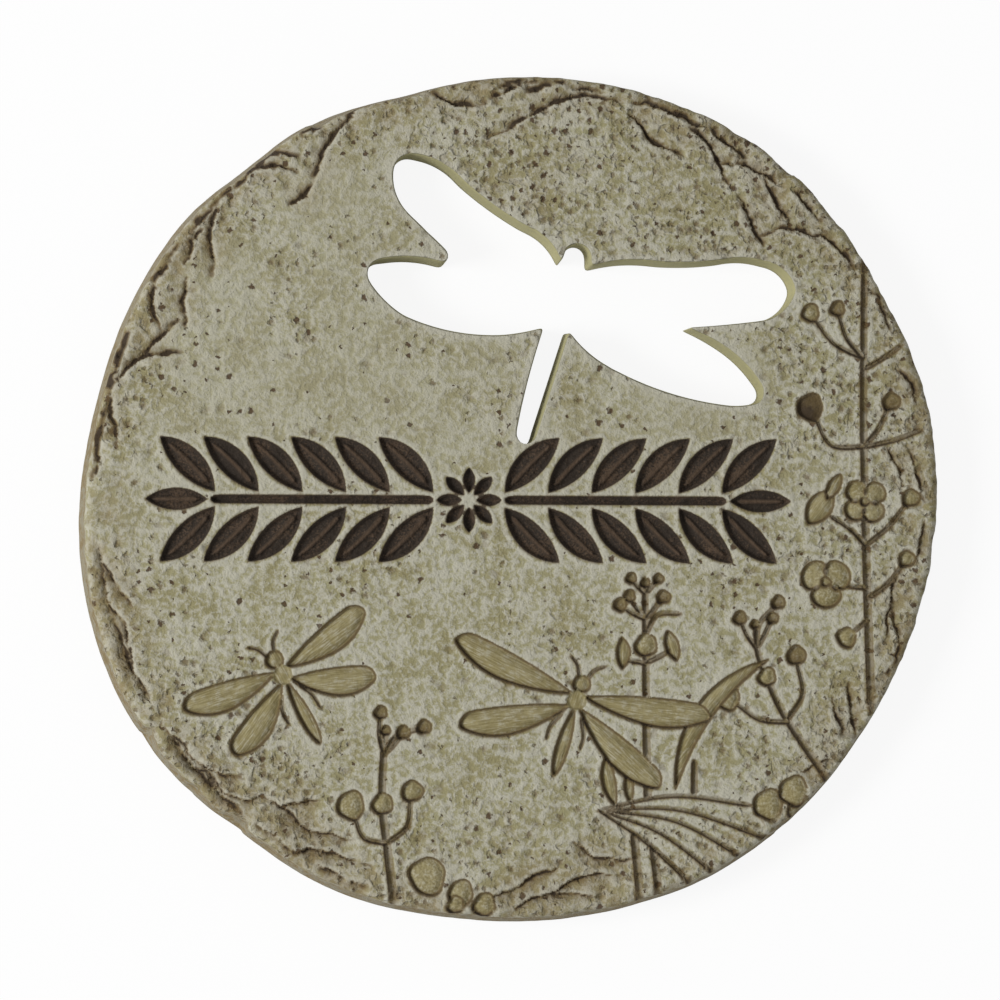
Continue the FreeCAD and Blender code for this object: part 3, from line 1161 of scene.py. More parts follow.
def garden() -> list[Figure]:
    """Every figure on the face but the band, in the order they are sunk.

    Returns:
        The figures: plants first, then what lies over them.
    """
    tall_sprig = Sprig(
        stem=((105.6, -63.0), (104.2, -20.0), (103.4, 25.0), (103.8, 71.0)), width=2.3,
        shoots=(
            Shoot(0.21, 128.0, 6.0, size=3.0, curl=0.0),
            Shoot(0.283, 84.0, 6.2, Head.FLOWER, 7.7, 4.0, petals=3, twist=-21.0),
            Shoot(0.256, -56.0, 14.6, size=2.5, curl=16.0), Shoot(0.389, 42.0, 13.5, Head.BARE, curl=-14.0),
            Shoot(0.389, -52.0, 17.2, size=2.7, curl=12.0),
            Shoot(0.487, 20.0, 0.0, Head.FLOWER, 7.0, twist=-43.0),
            Shoot(0.60, 86.0, 19.0, Head.SEED, 4.0, 56.0), Shoot(0.60, -40.0, 13.5, Head.BERRY, 2.7, 14.0),
            Shoot(0.59, -78.0, 18.0, Head.BARE, curl=8.0), Shoot(0.785, 64.0, 18.8, size=2.7, curl=24.0),
            Shoot(0.79, 40.0, 14.8, Head.BERRY, 2.3, 20.0), Shoot(0.757, -60.0, 14.0, Head.BARE, curl=6.0),
        ),
    )
    middle_sprig = Sprig(
        stem=((39.6, -90.0), (39.2, -70.0), (39.0, -45.0), (38.8, -23.5)), width=2.2,
        shoots=(
            Shoot(0.99, 3.0, 0.0, Head.BERRY, 1.5), Shoot(0.93, 46.0, 4.6, Head.BERRY, 1.7, 4.0),
            Shoot(0.93, -46.0, 4.4, Head.BERRY, 1.6, 4.0), Shoot(0.806, 38.0, 6.6, Head.BERRY, 1.9, 4.0),
            Shoot(0.806, 66.0, 6.8, Head.BERRY, 2.1, 8.0), Shoot(0.806, -44.0, 6.6, Head.BERRY, 2.1, 6.0),
            Shoot(0.73, -32.0, 13.5, Head.BARE, curl=-54.0), Shoot(0.70, 3.0, 0.0, size=3.4),
            Shoot(0.628, 82.0, 5.8, Head.BARE, curl=4.0), Shoot(0.62, -66.0, 7.2, Head.BARE, curl=4.0),
        ),
    )
    right_sprig = Sprig(
        stem=((94.5, -85.0), (84.0, -70.0), (78.3, -60.7), (73.5, -49.6), (71.5, -43.2)), width=2.1,
        shoots=(
            Shoot(0.97, 20.0, 8.5, Head.BERRY, 2.1, 10.0), Shoot(0.98, -14.0, 5.5, Head.BERRY, 1.4, 4.0),
            Shoot(0.96, -46.0, 8.5, Head.BERRY, 1.8, 4.0), Shoot(0.98, -24.0, 13.5, Head.BERRY, 2.1, -34.0),
            Shoot(0.37, -62.0, 18.0, Head.BERRY, 2.9, 40.0), Shoot(0.68, 3.0, 0.0, size=2.8),
            Shoot(0.35, 52.0, 17.0, size=4.0, curl=28.0),
        ),
    )
    left_sprig = Sprig(
        stem=((-34.8, -120.0), (-36.8, -103.5), (-38.4, -90.0), (-38.0, -75.5), (-37.4, -68.0)), width=2.3,
        shoots=(
            Shoot(0.99, 3.0, 0.0, Head.BERRY, 1.5), Shoot(0.76, 16.0, 10.0, Head.BERRY, 2.0, 14.0),
            Shoot(0.75, -44.0, 7.0, Head.BERRY, 2.1, 8.0), Shoot(0.74, -28.0, 14.0, Head.BERRY, 2.2, -40.0),
            Shoot(0.28, 68.0, 13.5, size=4.2, curl=52.0), Shoot(0.28, -58.0, 15.5, size=3.2, curl=42.0),
            Shoot(0.5, 3.0, 0.0, size=3.2),
        ),
    )
    figures = []
    for sprig in (tall_sprig, middle_sprig, right_sprig, left_sprig):
        figures += sprig.figures()
    for foot, top, width in (
        ((37.5, -119.5), (35.5, -98.0), 2.1), ((43.2, -119.0), (41.0, -101.0), 2.1),
        ((53.2, -87.5), (53.4, -77.0), 1.8),
    ):
        figures.append(groove(np.linspace(foot, top, 30), width, width))
    for root, angle, length, width, bow in (
        ((47.7, -85.5), 54.2, 47.0, 5.8, 6.4), ((30.0, -90.5), 101.0, 15.0, 4.2, 0.6),
        ((34.5, -90.0), 93.0, 11.0, 2.8, 0.3), ((86.8, -7.6), 54.0, 12.2, 7.4, 0.0),
        ((92.4, -0.4), 61.0, 8.6, 3.8, 0.0), ((32.1, -50.4), 91.0, 9.4, 4.2, -0.4),
        ((48.2, -48.0), 108.0, 9.5, 4.2, 0.0),
    ):
        ring = blade_ring(root, angle, length, width, 0.5, bow)
        figures.append(Figure(ring, Cut.PILLOW, root, angle, 0.9))
    figures += FanLeaf().figures()
    for middle, radius in (
        ((-25.2, -111.1), 5.5), ((-15.4, -116.0), 3.8), ((-8.5, -119.4), 3.4), ((-17.0, -119.4), 2.6),
        ((75.0, -90.0), 4.5), ((84.5, -91.0), 3.8), ((82.5, -86.0), 4.4),
    ):
        ring = bud_ring(middle, radius, radius * 40.0)
        figures.append(Figure(ring, Cut.PILLOW, middle, stretch=EVEN))
    figures += Dragonfly((-67.6, -52.4), 119.0, 30.0).figures()
    figures += Dragonfly((18.6, -59.6), 73.0, 39.5).figures()
    return figures


# The breaks along the rim

FACE_REACH = 122.0


@dataclass(frozen=True)
class Crack:
    """A break in the face: a ragged ledge along a route, dropped on its rimward side.

    Fields:
        route: the places that it goes through.
        width: of the dark notch at its foot.
        depth: of that notch.
        step: how far the rimward side drops.
        slope: how far from the ledge that side has mostly climbed back.
        colour: how strongly it is stained, and its notch painted with shadow.
    """

    route: tuple[Place, ...]
    width: float
    depth: float
    step: float
    slope: float
    colour: float

    def offsets(self, spots: Array, grain: Grain) -> tuple[Array, Array]:
        """Where spots lie beside the crack, which wobbles about its route and is held on the face.

        Args:
            spots: the places to measure.
            grain: the noise that wobbles the crack.

        Returns:
            The distance from the crack, positive towards the rim, and the share of the way along it.
        """
        line = smooth_path(self.route)
        line = line * np.minimum(1.0, FACE_REACH / np.linalg.norm(line, axis=1))[:, None]
        wobble = np.stack([grain.layered(spots, 6.0), grain.layered(spots + 57.0, 6.0)], axis=1)
        gaps, piece, share = line_offsets(spots + 0.9 * wobble, line[:-1], line[1:])
        out = np.linalg.norm(gaps, axis=1) * np.sign((gaps * spots).sum(axis=1))
        return out, (piece + share) / (len(line) - 1)

    def edges(self, surface: Surface, grain: Grain) -> Array:
        """Where the mesh has to be fine along the crack's scarp.

        Args:
            surface: the places to choose from.
            grain: the noise that wobbles the crack.

        Returns:
            The numbers of the places close to the scarp.
        """
        near = surface.near(np.array(self.route), 3.0)
        if len(near) == 0:
            return near
        out, _ = self.offsets(surface.places[near], grain)
        return near[(out > -0.6) & (out < 1.0)]

    def press(self, surface: Surface, grain: Grain) -> None:
        """Break the face along the route.

        Going out towards the rim, the face falls down a small scarp and climbs back up a slope that dies
        away as exp(-d / slope), with a notch at the scarp's foot. Along the route everything swells and
        fades as the square root of a sine, and noise frays it. The stain is sharp along the scarp and
        dies away outwards, and its dark in the notch is partly a painted shadow; brown fades over the
        slope, and the scarp's top edge is brushed pale.

        Args:
            surface: the face, which is changed.
            grain: the noise that wobbles and frays the crack.
        """
        near = surface.near(np.array(self.route), 3.0 * self.slope)
        if len(near) == 0:
            return
        spots = surface.places[near]
        out, gone = self.offsets(spots, grain)
        past = np.maximum(out, 0.0)
        taper = np.sqrt(np.sin(np.pi * np.clip(gone, 0.0, 1.0)).clip(0.0))
        ragged = np.clip(0.95 + 0.6 * grain.layered(spots + 13.0, 4.0), 0.3, 1.5)
        half = 0.5 * self.width * ragged
        fall = ease(-0.15, 0.3, out) * np.exp(-past / self.slope)
        notch = ease(-0.2, 0.15, out) * (1.0 - ease(0.3, 2.2, past / half))
        surface.drop[near] += taper * (self.step * fall + self.depth * notch)
        brown = 0.46 * fall ** 1.2
        # The notch's dark is partly a painted shadow at the scarp's foot; the slope's brown is stain
        stain_and_shade = np.minimum(self.colour * taper * np.maximum(notch, brown) * ragged.clip(0.0, 1.1), 1.0)
        surface.stain_and_shade[near] = np.maximum(surface.stain_and_shade[near], stain_and_shade)
        surface.lift[near] = np.maximum(surface.lift[near], 0.95 * taper * bell(out, -0.75, 0.6))
        soaked = taper * np.exp(-np.maximum(-out, 0.5 * out) / self.slope)
        surface.wash[near] = np.maximum(surface.wash[near], soaked)


def rim_cracks() -> list[Crack]:
    """The breaks along the rim, anticlockwise from the top.

    Returns:
        The cracks.
    """
    top = (
        ((-9, 104), (4, 111), (14, 116), (22, 118), (32, 115)),
        ((34, 116), (44, 115), (51, 113), (58, 111)),
        ((33, 113), (37, 109), (41, 104), (51, 100)), ((51, 110), (56, 105), (60, 99), (64, 90)),
        ((66, 89), (69, 83), (71, 78), (74, 73)), ((72, 77), (80, 79), (90, 77), (97, 72), (101, 66)),
        ((61, 98), (69, 97), (80, 92)), ((74, 94), (76, 88), (82, 80)), ((84, 93), (88, 89), (92, 82)),
        ((59, 111), (63, 105), (68, 99)), ((-7, 116), (0, 120), (9, 122)), ((3, 118), (13, 121), (29, 122)),
        ((-4, 120), (4, 124)), ((-25, 119), (-17, 115), (-8, 115)),
    )
    upper_left = (
        ((-40, 116), (-46, 113), (-53, 105), (-57, 96), (-58, 91)), ((-58, 92), (-61, 88), (-66, 84)),
        ((-57, 112), (-63, 106)), ((-63, 99), (-70, 101), (-78, 97)),
        ((-62, 95), (-71, 96), (-81, 94), (-90, 87)),
        ((-86, 90), (-93, 84), (-99, 78)), ((-86, 86), (-88, 79), (-88, 71), (-88, 64)),
        ((-91, 78), (-94, 73), (-96, 67)), ((-96, 64), (-96, 56), (-96, 48)),
        ((-98, 76), (-103, 70), (-105, 59), (-103, 47)), ((-96, 41), (-106, 41), (-114, 36), (-118, 29)),
        ((-118, 31), (-117, 22), (-115, 13)), ((-109, 41), (-104, 45), (-98, 52)), ((-115, 51), (-117, 40)),
    )
    left_edge = (((-118, 26), (-121, 18), (-122, 11), (-122, 4)), ((-112, 47), (-116, 38), (-119, 30)))
    left_ledges = (
        ((-125, -12), (-121, -25), (-119, -30), (-114, -37), (-112, -46), (-110, -54), (-108, -61)),
        ((-123, -15), (-117, -24), (-111, -33)), ((-122, -35), (-119, -45), (-115, -54), (-111, -64)),
        ((-104, -67), (-97, -72), (-92, -78), (-86, -81), (-78, -82)),
        ((-89, -81), (-86, -87), (-83, -92), (-80, -97)),
        ((-100, -78), (-95, -79), (-89, -81), (-85, -86), (-78, -89), (-74, -87.5)),
        ((-76, -87), (-68, -90), (-62, -96), (-54, -99), (-45, -100)),
        ((-74, -103), (-66, -103.6), (-54, -104), (-40, -108)), ((-70, -90), (-63, -89), (-56, -89)),
        ((-106, -73), (-99, -80), (-95, -86)), ((-76, -96), (-70, -101)),
        ((-60, -109), (-52, -113), (-42, -115)), ((-98, -77), (-89, -84), (-84, -91)),
        ((-9, -119), (2, -113), (15, -107)), ((-2, -122), (10, -116), (28, -117)),
        ((17, -101), (25, -105), (37, -106)), ((6, -118), (20, -111), (33, -110)),
    )
    right = (
        ((107, 66), (110, 56), (113, 49)), ((112, 38), (118, 33), (122, 28)), ((117, 15), (121, -2)),
        ((110, 16), (115, 3)), ((113, -18), (109, -42)), ((111, -30), (113, -45), (107, -58)),
        ((121, -6), (119, -18)), ((99, -53), (100, -71)), ((93, -58), (97, -71)), ((85, -80), (94, -76)),
    )
    cracks = [Crack(route, 1.7, 0.9, 0.7, 3.0, 1.4) for route in top + upper_left]
    cracks += [Crack(route, 2.3, 1.1, 0.8, 3.0, 1.5) for route in left_edge]
    cracks += [Crack(route, 1.0, 0.45, 1.4, 4.5, 1.25) for route in left_ledges]
    cracks += [Crack(route, 1.3, 0.5, 0.8, 4.0, 1.15) for route in right]
    return cracks


# The slab

@dataclass
class Carver:
    """Works out the face's height and marks at any set of places."""

    rim: Rim
    opening: Opening
    figures: list[Figure]
    cracks: list[Crack]
    grain: Grain
    skin_depth: float = 0.42
    pit_cell: float = 3.4
    pit_rows: int = 96
    pit_depth: float = 0.5
    pit_seed: int = 41
    mouth_margin: float = 8.0

    def wanted(self, places: Array) -> tuple[Array, Array]:
        """Where the mesh has to be fine.

        Args:
            places: the points to choose from.

        Returns:
            Whether each lies on a carved edge, and whether it crowds a line that the mesh follows.
        """
        surface = Surface.blank(places)
        close = np.zeros(len(places), bool)
        crowded = np.zeros(len(places), bool)
        for crack in self.cracks:
            close[crack.edges(surface, self.grain)] = True
        for figure in self.figures:
            edge, crowd = figure.edges(surface)
            close[edge] = True
            crowded[crowd] = True
        return close, crowded

    def carve(self, places: Array, mouth: Array) -> Surface:
        """Carve and mark the face.

        Args:
            places: X and Y of its points, in millimetres.
            mouth: the opening's outline at the face.

        Returns:
            The carved face.
        """
        surface = Surface.blank(places)
        self.weather(surface)
        self.pits(surface)
        for crack in self.cracks:
            crack.press(surface, self.grain)
        for number, figure in enumerate(self.figures):
            figure.press(surface, number)
        near = surface.near(mouth, self.mouth_margin)
        depth, _ = ring_depth(places[near], mouth)
        surface.lift[near] = np.maximum(surface.lift[near], 0.75 * bell(depth, 0.0, 1.7))
        surface.worn[near] = np.maximum(surface.worn[near], 0.6 * bell(depth, 0.0, 2.2))
        return surface

    def weather(self, surface: Surface) -> None:
        """Set the cement's unevenness, and how weathered it is.

        It is most weathered at the top, the right, the foot, the lower left and the rim, and noise breaks
        that up.

        Args:
            surface: the face, which is changed.
        """
        x, y = surface.places.T
        edge = ease(108.0, 121.0, np.hypot(x, y))
        waves = 0.5 * self.grain.layered(surface.places, 17.0, 2)
        lumps = self.grain.layered(surface.places + 90.0, 5.5, 3)
        uneven = 0.5 + 0.5 * waves + (0.45 + edge) * lumps
        surface.rough[:] = self.skin_depth * np.clip(uneven, 0.0, 2.2)
        patch = self.grain.layered(surface.places + 211.0, 38.0, 3)
        top = 0.6 * ease(15.0, 95.0, y) * ease(-80.0, -10.0, x)
        right = 0.45 * ease(45.0, 112.0, x)
        low = 0.4 * ease(45.0, 105.0, -y)
        left = 0.35 * ease(55.0, 115.0, -x) * ease(0.0, 50.0, -y)
        sides = 0.12 + top + right + low + left + 0.3 * edge
        surface.weather[:] = np.clip(sides + 0.5 * patch, 0.0, 1.0)
        surface.wash[:] = edge * np.clip(0.55 + lumps, 0.0, 1.0)

    def pits(self, surface: Surface) -> None:
        """Press pits into the cement: one oval in each cell of a jittered grid, more where it is weathered.

        A pit's depth is its own times 1 - r^2, where r is the distance over its radius.

        Args:
            surface: the face, which is changed.
        """
        draw = np.random.default_rng(self.pit_seed)
        tile = (self.pit_rows, self.pit_rows)
        jitter = draw.uniform(0.1, 0.9, (*tile, 2))
        chance = draw.uniform(0.0, 1.0, tile)
        size = draw.uniform(0.45, 1.0, tile) ** 2 * 1.45
        angle = draw.uniform(-35.0, 35.0, tile)
        depth = np.zeros(len(surface.places))
        own = np.floor(surface.places / self.pit_cell).astype(int)
        for step in np.ndindex(3, 3):
            cell = own + np.array(step) - 1
            at = tuple((cell % self.pit_rows).T)
            gap = surface.places - (cell + jitter[at]) * self.pit_cell
            along = heading(angle[at])
            length = (gap * along).sum(axis=1)
            breadth = gap[:, 1] * along[:, 0] - gap[:, 0] * along[:, 1]
            reach = (length / 1.5) ** 2 + breadth ** 2
            here = np.clip(1.0 - reach / size[at] ** 2, 0.0, 1.0) * size[at]
            depth = np.maximum(depth, here * (chance[at] < 0.1 + 0.8 * surface.weather))
        surface.drop += self.pit_depth * depth
        surface.stain_and_shade[:] = np.maximum(surface.stain_and_shade, 0.3 * ease(0.1, 0.7, depth))


class Zone(Enum):
    """The parts of the slab's skin that are finished differently."""

    FACE = 0
    RIM = 1
    OPENING = 2
    UNDERSIDE = 3


FACE_MARKS = ("stain_and_shade", "lift", "figure", "band", "weather", "wash")
ZONE_MARKS = {"rim_side": Zone.RIM, "opening_side": Zone.OPENING, "underside": Zone.UNDERSIDE}


class MeshParts:
    """Gathers the points, triangles and marks of one mesh."""

    def __init__(self, surface: Surface) -> None:
        """Start with no points.

        Args:
            surface: the carved face, whose points come first and have marks.
        """
        self.surface = surface
        self.blocks: list[Array] = []
        self.zones: list[Array] = []
        self.faces: list[tuple[Array, bool]] = []

    def points(self) -> Array:
        """Every point so far, in millimetres."""
        return np.vstack(self.blocks)

    def extend(self, points: Array, zone: Zone) -> int:
        """Add points of one zone.

        Args:
            points: the points, in millimetres.
            zone: their zone.

        Returns:
            The number of the first.
        """
        start = sum(len(block) for block in self.blocks)
        self.blocks.append(points)
        self.zones.append(np.full(len(points), zone.value))
        return start

    def add(self, points: Array, triangles: Array, zone: Zone) -> None:
        """Add points and the triangles between them, smoothly shaded."""
        start = self.extend(points, zone)
        self.faces.append((triangles + start, True))

    def band(self, upper: Array, ring: Array, zone: Zone) -> Array:
        """Join a ring of new points to a ring above it, two triangles to each step.

        Args:
            upper: the numbers of the ring above.
            ring: the new ring's points.
            zone: the zone of the new points.

        Returns:
            The numbers of the new points.
        """
        lower = self.extend(ring, zone) + np.arange(len(ring))
        upper_next, lower_next = np.roll(upper, -1), np.roll(lower, -1)
        first = np.column_stack([upper, lower, lower_next])
        second = np.column_stack([upper, lower_next, upper_next])
        self.faces.append((np.vstack([first, second]), True))
        return lower

    def finish(self, name: str) -> bpy.types.Object:
        """Make the mesh, test that it is closed, and put the marks on it.

        Args:
            name: the object's name.

        Returns:
            The object, at the origin, with its place in its mesh.
        """
        points = self.points() * MM
        triangles = np.vstack([block for block, _ in self.faces])
        smooth = np.concatenate([np.full(len(block), shade) for block, shade in self.faces])
        ends = np.stack([triangles, np.roll(triangles, -1, axis=1)], axis=-1).reshape(-1, 2)
        codes = np.sort(ends[:, 0].astype(np.int64) * len(points) + ends[:, 1])
        back = np.sort(ends[:, 1].astype(np.int64) * len(points) + ends[:, 0])
        if not np.array_equal(codes, back) or (np.diff(codes) == 0).any():
            raise RuntimeError("the stone's mesh isn't closed")
        mesh = bpy.data.meshes.new(name)
        mesh.from_pydata(points.tolist(), [], triangles.tolist())
        mesh.polygons.foreach_set("use_smooth", smooth)
        self.mark(mesh, len(points))
        mesh.update()
        log.info("%s: %d triangles, closed", name, len(triangles))
        return placed(name, mesh)

    def mark(self, mesh: bpy.types.Mesh, count: int) -> None:
        """Put the face's marks and the zones on the mesh as point attributes.

        Args:
            mesh: the mesh to mark.
            count: its number of points.
        """
        zones = np.concatenate(self.zones)
        marks = {name: getattr(self.surface, name) for name in FACE_MARKS}
        marks |= {name: (zones == zone.value).astype(float) for name, zone in ZONE_MARKS.items()}
        for name, values in marks.items():
            whole = np.zeros(count)
            whole[:len(values)] = values
            mesh.attributes.new(name, "FLOAT", "POINT").data.foreach_set("value", whole)
        streak = np.zeros((count, 3))
        streak[:len(self.surface.streak)] = self.surface.streak
        mesh.attributes.new("streak", "FLOAT_VECTOR", "POINT").data.foreach_set("vector", streak.ravel())


@dataclass
class Slab:
    """The stepping stone: one closed mesh of face, rim, opening walls and underside."""

    carver: Carver
    thickness: float
    lattice: float = 1.06
    row_share: float = 0.866
    shake_share: float = 0.16
    lattice_seed: int = 7
    trace_gap: float = 0.13
    mouth_gap: float = 0.45
    rim_gap: float = 0.5
    wall_rows: int = 7
    opening_rows: int = 5
    base_round: float = 0.5
    edge_steps: tuple[float, ...] = (0.0, 0.16, 0.6, 1.3, 2.4)
    mouth_steps: tuple[float, ...] = (0.0, 0.4, 1.0)
    underside_step: float = 6.0

    def face_rings(self) -> tuple[list[Array], list[Array]]:
        """The outlines that edge the face.

        Returns:
            The rim's outlines from its wall inwards, and the opening's from its mouth outwards.
        """
        rim = self.carver.rim
        degrees = rim.angles()
        edge = rim.radius(degrees) - rim.chips(degrees, self.carver.grain)
        top = (self.thickness - rim.rounding) * math.tan(math.radians(rim.lean))
        rims = [(edge - top - gone)[:, None] * heading(degrees) for gone in self.edge_steps]
        opening = self.carver.opening
        mouths = [opening.ring(-opening.lip - gone) for gone in self.mouth_steps]
        return rims, mouths

    def lattice_points(self, edge: Array, mouth: Array) -> Array:
        """The face's inner points: lines along the figures, and between them a jittered three-way lattice.

        The lattice is twice as fine along carved edges.

        Args:
            edge: the rim's innermost outline.
            mouth: the opening's outermost outline.

        Returns:
            The points, all clear of both outlines.
        """
        fine = self.lattice / 2.0
        half = self.carver.rim.width / 2.0
        high, wide = int(half / fine / self.row_share) + 1, int(half / fine) + 1
        rows, columns = np.arange(-high, high + 1), np.arange(-wide, wide + 1)
        row, column = (grid.ravel() for grid in np.meshgrid(rows, columns, indexing="ij"))
        places = np.stack([(column + 0.5 * (row % 2)) * fine, row * fine * self.row_share], axis=1)
        coarse = (row % 2 == 0) & ((column + row // 2) % 2 == 0)
        kept = np.hypot(*places.T) < half
        places, coarse = places[kept], coarse[kept]
        close, crowded = self.carver.wanted(places)
        places = places[(coarse | close) & ~crowded]
        shake = np.random.default_rng(self.lattice_seed).uniform(-1.0, 1.0, places.shape)
        lines = np.vstack([figure.traced(fine) for figure in self.carver.figures])
        places = np.vstack([thinned(lines, self.trace_gap), places + self.shake_share * fine * shake])
        places = places[inside_ring(places, edge)]
        depth = np.full(len(places), -math.inf)
        near = Surface.blank(places).near(mouth, 2.0)
        depth[near], _ = ring_depth(places[near], mouth)
        reach, _, _ = line_offsets(places, edge, np.roll(edge, -1, axis=0))
        clear = (depth < -self.mouth_gap) & (np.linalg.norm(reach, axis=1) > self.rim_gap)
        return places[clear]

    def build(self) -> bpy.types.Object:
        """Make the stone's mesh and its object; the face's edge is a quarter circle down to the rim's wall.

        Returns:
            The object, at the origin.
        """
        rim = self.carver.rim
        rims, mouths = self.face_rings()
        inner = self.lattice_points(rims[-1], mouths[-1])
        places = np.vstack([*rims, *mouths, inner])
        surface = self.carver.carve(places, mouths[0])
        count = len(rims[0])
        mouth_start = len(rims) * count
        bend = 1.0 - np.array(self.edge_steps) / rim.rounding
        lost = np.zeros(len(places))
        lost[:mouth_start] = np.repeat(rim.rounding * (1.0 - np.sqrt(1.0 - bend * bend)), count)
        top = self.thickness - lost - self.face_drop(surface)
        face = np.column_stack([places, top])
        triangles = self.fill(places, [rims[0], mouths[0]], [0, mouth_start])
        log.info("face: %d points, %d triangles", len(places), len(triangles))
        mesh = MeshParts(surface)
        mesh.add(face, triangles, Zone.FACE)
        mouth_ids = mouth_start + np.arange(len(mouths[0]))
        foot_rim = self.rim_wall(mesh, np.arange(count), top[:count])
        foot_mouth = self.opening_wall(mesh, mouth_ids, top[mouth_ids])
        self.underside(mesh, foot_rim, foot_mouth)
        return mesh.finish("carved_stone")

    def face_drop(self, surface: Surface) -> Array:
        """How far each point ends below the blank face: carving, and what roughness is left."""
        return np.maximum(surface.drop + surface.rough * (1.0 - 0.6 * surface.worn) + 0.12, 0.0)

    def fill(self, places: Array, loops: list[Array], starts: list[int]) -> Array:
        """Triangles between points, bounded by an outer loop and an inner one.

        Args:
            places: every point, one row each.
            loops: the outer loop's points and the inner loop's.
            starts: where each loop begins among the places.

        Returns:
            Three point numbers for each triangle, anticlockwise from above.
        """
        edges = []
        group = np.zeros(len(places), int)
        for number, (loop, start) in enumerate(zip(loops, starts), start=1):
            ids = start + np.arange(len(loop))
            edges += np.column_stack([ids, np.roll(ids, -1)]).tolist()
            group[ids] = number
        made = delaunay_2d_cdt([Vector(spot) for spot in places.tolist()], edges, [], 0, 1e-6)
        if len(made[0]) != len(places):
            raise RuntimeError("two points of the face fell together")
        triangles = np.array(made[2])
        groups = group[triangles]
        loose = (groups[:, 0] > 0) & (groups == groups[:, :1]).all(axis=1)
        middle = places[triangles[loose]].mean(axis=1)
        kept = np.ones(len(triangles), bool)
        kept[loose] = inside_ring(middle, loops[0]) & ~inside_ring(middle, loops[1])
        triangles = triangles[kept]
        first, second, third = (places[triangles[:, corner]] for corner in range(3))
        one, other = second - first, third - first
        turn = one[:, 0] * other[:, 1] - one[:, 1] * other[:, 0]
        triangles[turn < 0.0] = triangles[turn < 0.0][:, ::-1]
        return triangles

    def rim_wall(self, mesh: MeshParts, top_ids: Array, top_height: Array) -> Array:
        """Carry the face's edge down the leaning rim to the underside.

        Noise dents the wall halfway down, and the chips of the upper edge fade to a quarter at the foot.

        Args:
            mesh: the parts so far, which are added to.
            top_ids: the numbers of the points along the face's edge.
            top_height: their heights.

        Returns:
            The numbers of the points along the underside's edge.
        """
        rim = self.carver.rim
        degrees = rim.angles()
        grain = self.carver.grain
        chips = rim.chips(degrees, grain)
        ids = top_ids
        shares = np.linspace(1.0, 0.0, self.wall_rows)[1:]
        for share, fade in zip(shares, ease(0.0, 0.6, shares)):
            height = self.base_round + share * (top_height - self.base_round)
            inset = height * math.tan(math.radians(rim.lean))
            skin = np.column_stack([1.1 * degrees, 40.0 + height])
            dent = 0.35 * np.clip(0.3 + grain.layered(skin, 6.0), 0.0, 1.0) * math.sin(math.pi * share)
            reach = rim.radius(degrees) - chips * (0.25 + 0.75 * fade) - inset - dent
            ring = np.column_stack([reach[:, None] * heading(degrees), height])
            ids = mesh.band(ids, ring, Zone.RIM)
        foot = mesh.points()[ids]
        shrink = 1.0 - self.base_round / np.linalg.norm(foot[:, :2], axis=1)
        floor = np.column_stack([foot[:, :2] * shrink[:, None], np.zeros(len(foot))])
        return mesh.band(ids, floor, Zone.RIM)

    def opening_wall(self, mesh: MeshParts, top_ids: Array, top_height: Array) -> Array:
        """Carry the opening's mouth over its bevel and down its walls to the underside.

        Args:
            mesh: the parts so far, which are added to.
            top_ids: the numbers of the points along the mouth.
            top_height: their heights.

        Returns:
            The numbers of the points along the opening's foot.
        """
        opening = self.carver.opening
        shoulder = self.thickness - opening.lip
        step = 0.28 * opening.lip
        bevel = np.column_stack([opening.ring(-step), top_height - step])
        ids = mesh.band(top_ids, bevel, Zone.OPENING)
        for share in np.linspace(1.0, 0.0, self.opening_rows):
            inset = shoulder * (1.0 - share) * math.tan(math.radians(opening.lean))
            outline = opening.ring(inset)
            height = np.minimum(share * shoulder, top_height - 0.7 * opening.lip)
            ids = mesh.band(ids, np.column_stack([outline, height]), Zone.OPENING)
        return ids

    def underside(self, mesh: MeshParts, rim_ids: Array, mouth_ids: Array) -> None:
        """Close the slab with its flat underside.

        Args:
            mesh: the parts so far, which are added to.
            rim_ids: the points along the rim's foot.
            mouth_ids: the points along the opening's foot.
        """
        points = mesh.points()
        edge, mouth = points[rim_ids][:, :2], points[mouth_ids][:, :2]
        half = self.carver.rim.width / 2.0
        steps = np.arange(-half, half, self.underside_step)
        grid = np.stack(np.meshgrid(steps, steps), axis=-1).reshape(-1, 2)
        grid = grid[inside_ring(grid, 0.985 * edge)]
        depth, _ = ring_depth(grid, mouth)
        grid = grid[depth < -2.0]
        triangles = self.fill(np.vstack([edge, mouth, grid]), [edge, mouth], [0, len(edge)])
        start = mesh.extend(np.column_stack([grid, np.zeros(len(grid))]), Zone.UNDERSIDE)
        numbers = np.concatenate([rim_ids, mouth_ids, start + np.arange(len(grid))])
        mesh.faces.append((numbers[triangles][:, ::-1], False))


# The finish

def tint(red: int, green: int, blue: int) -> Colour:
    """A colour as it is seen, turned into the linear values that shaders take.

    Args:
        red: 0 to 255.
        green: 0 to 255.
        blue: 0 to 255.

    Returns:
        The linear colour, opaque.
    """
    seen = np.array([red, green, blue]) / 255.0
    linear = np.where(seen <= 0.04045, seen / 12.92, ((seen + 0.055) / 1.055) ** 2.4)
    return (*linear.tolist(), 1.0)


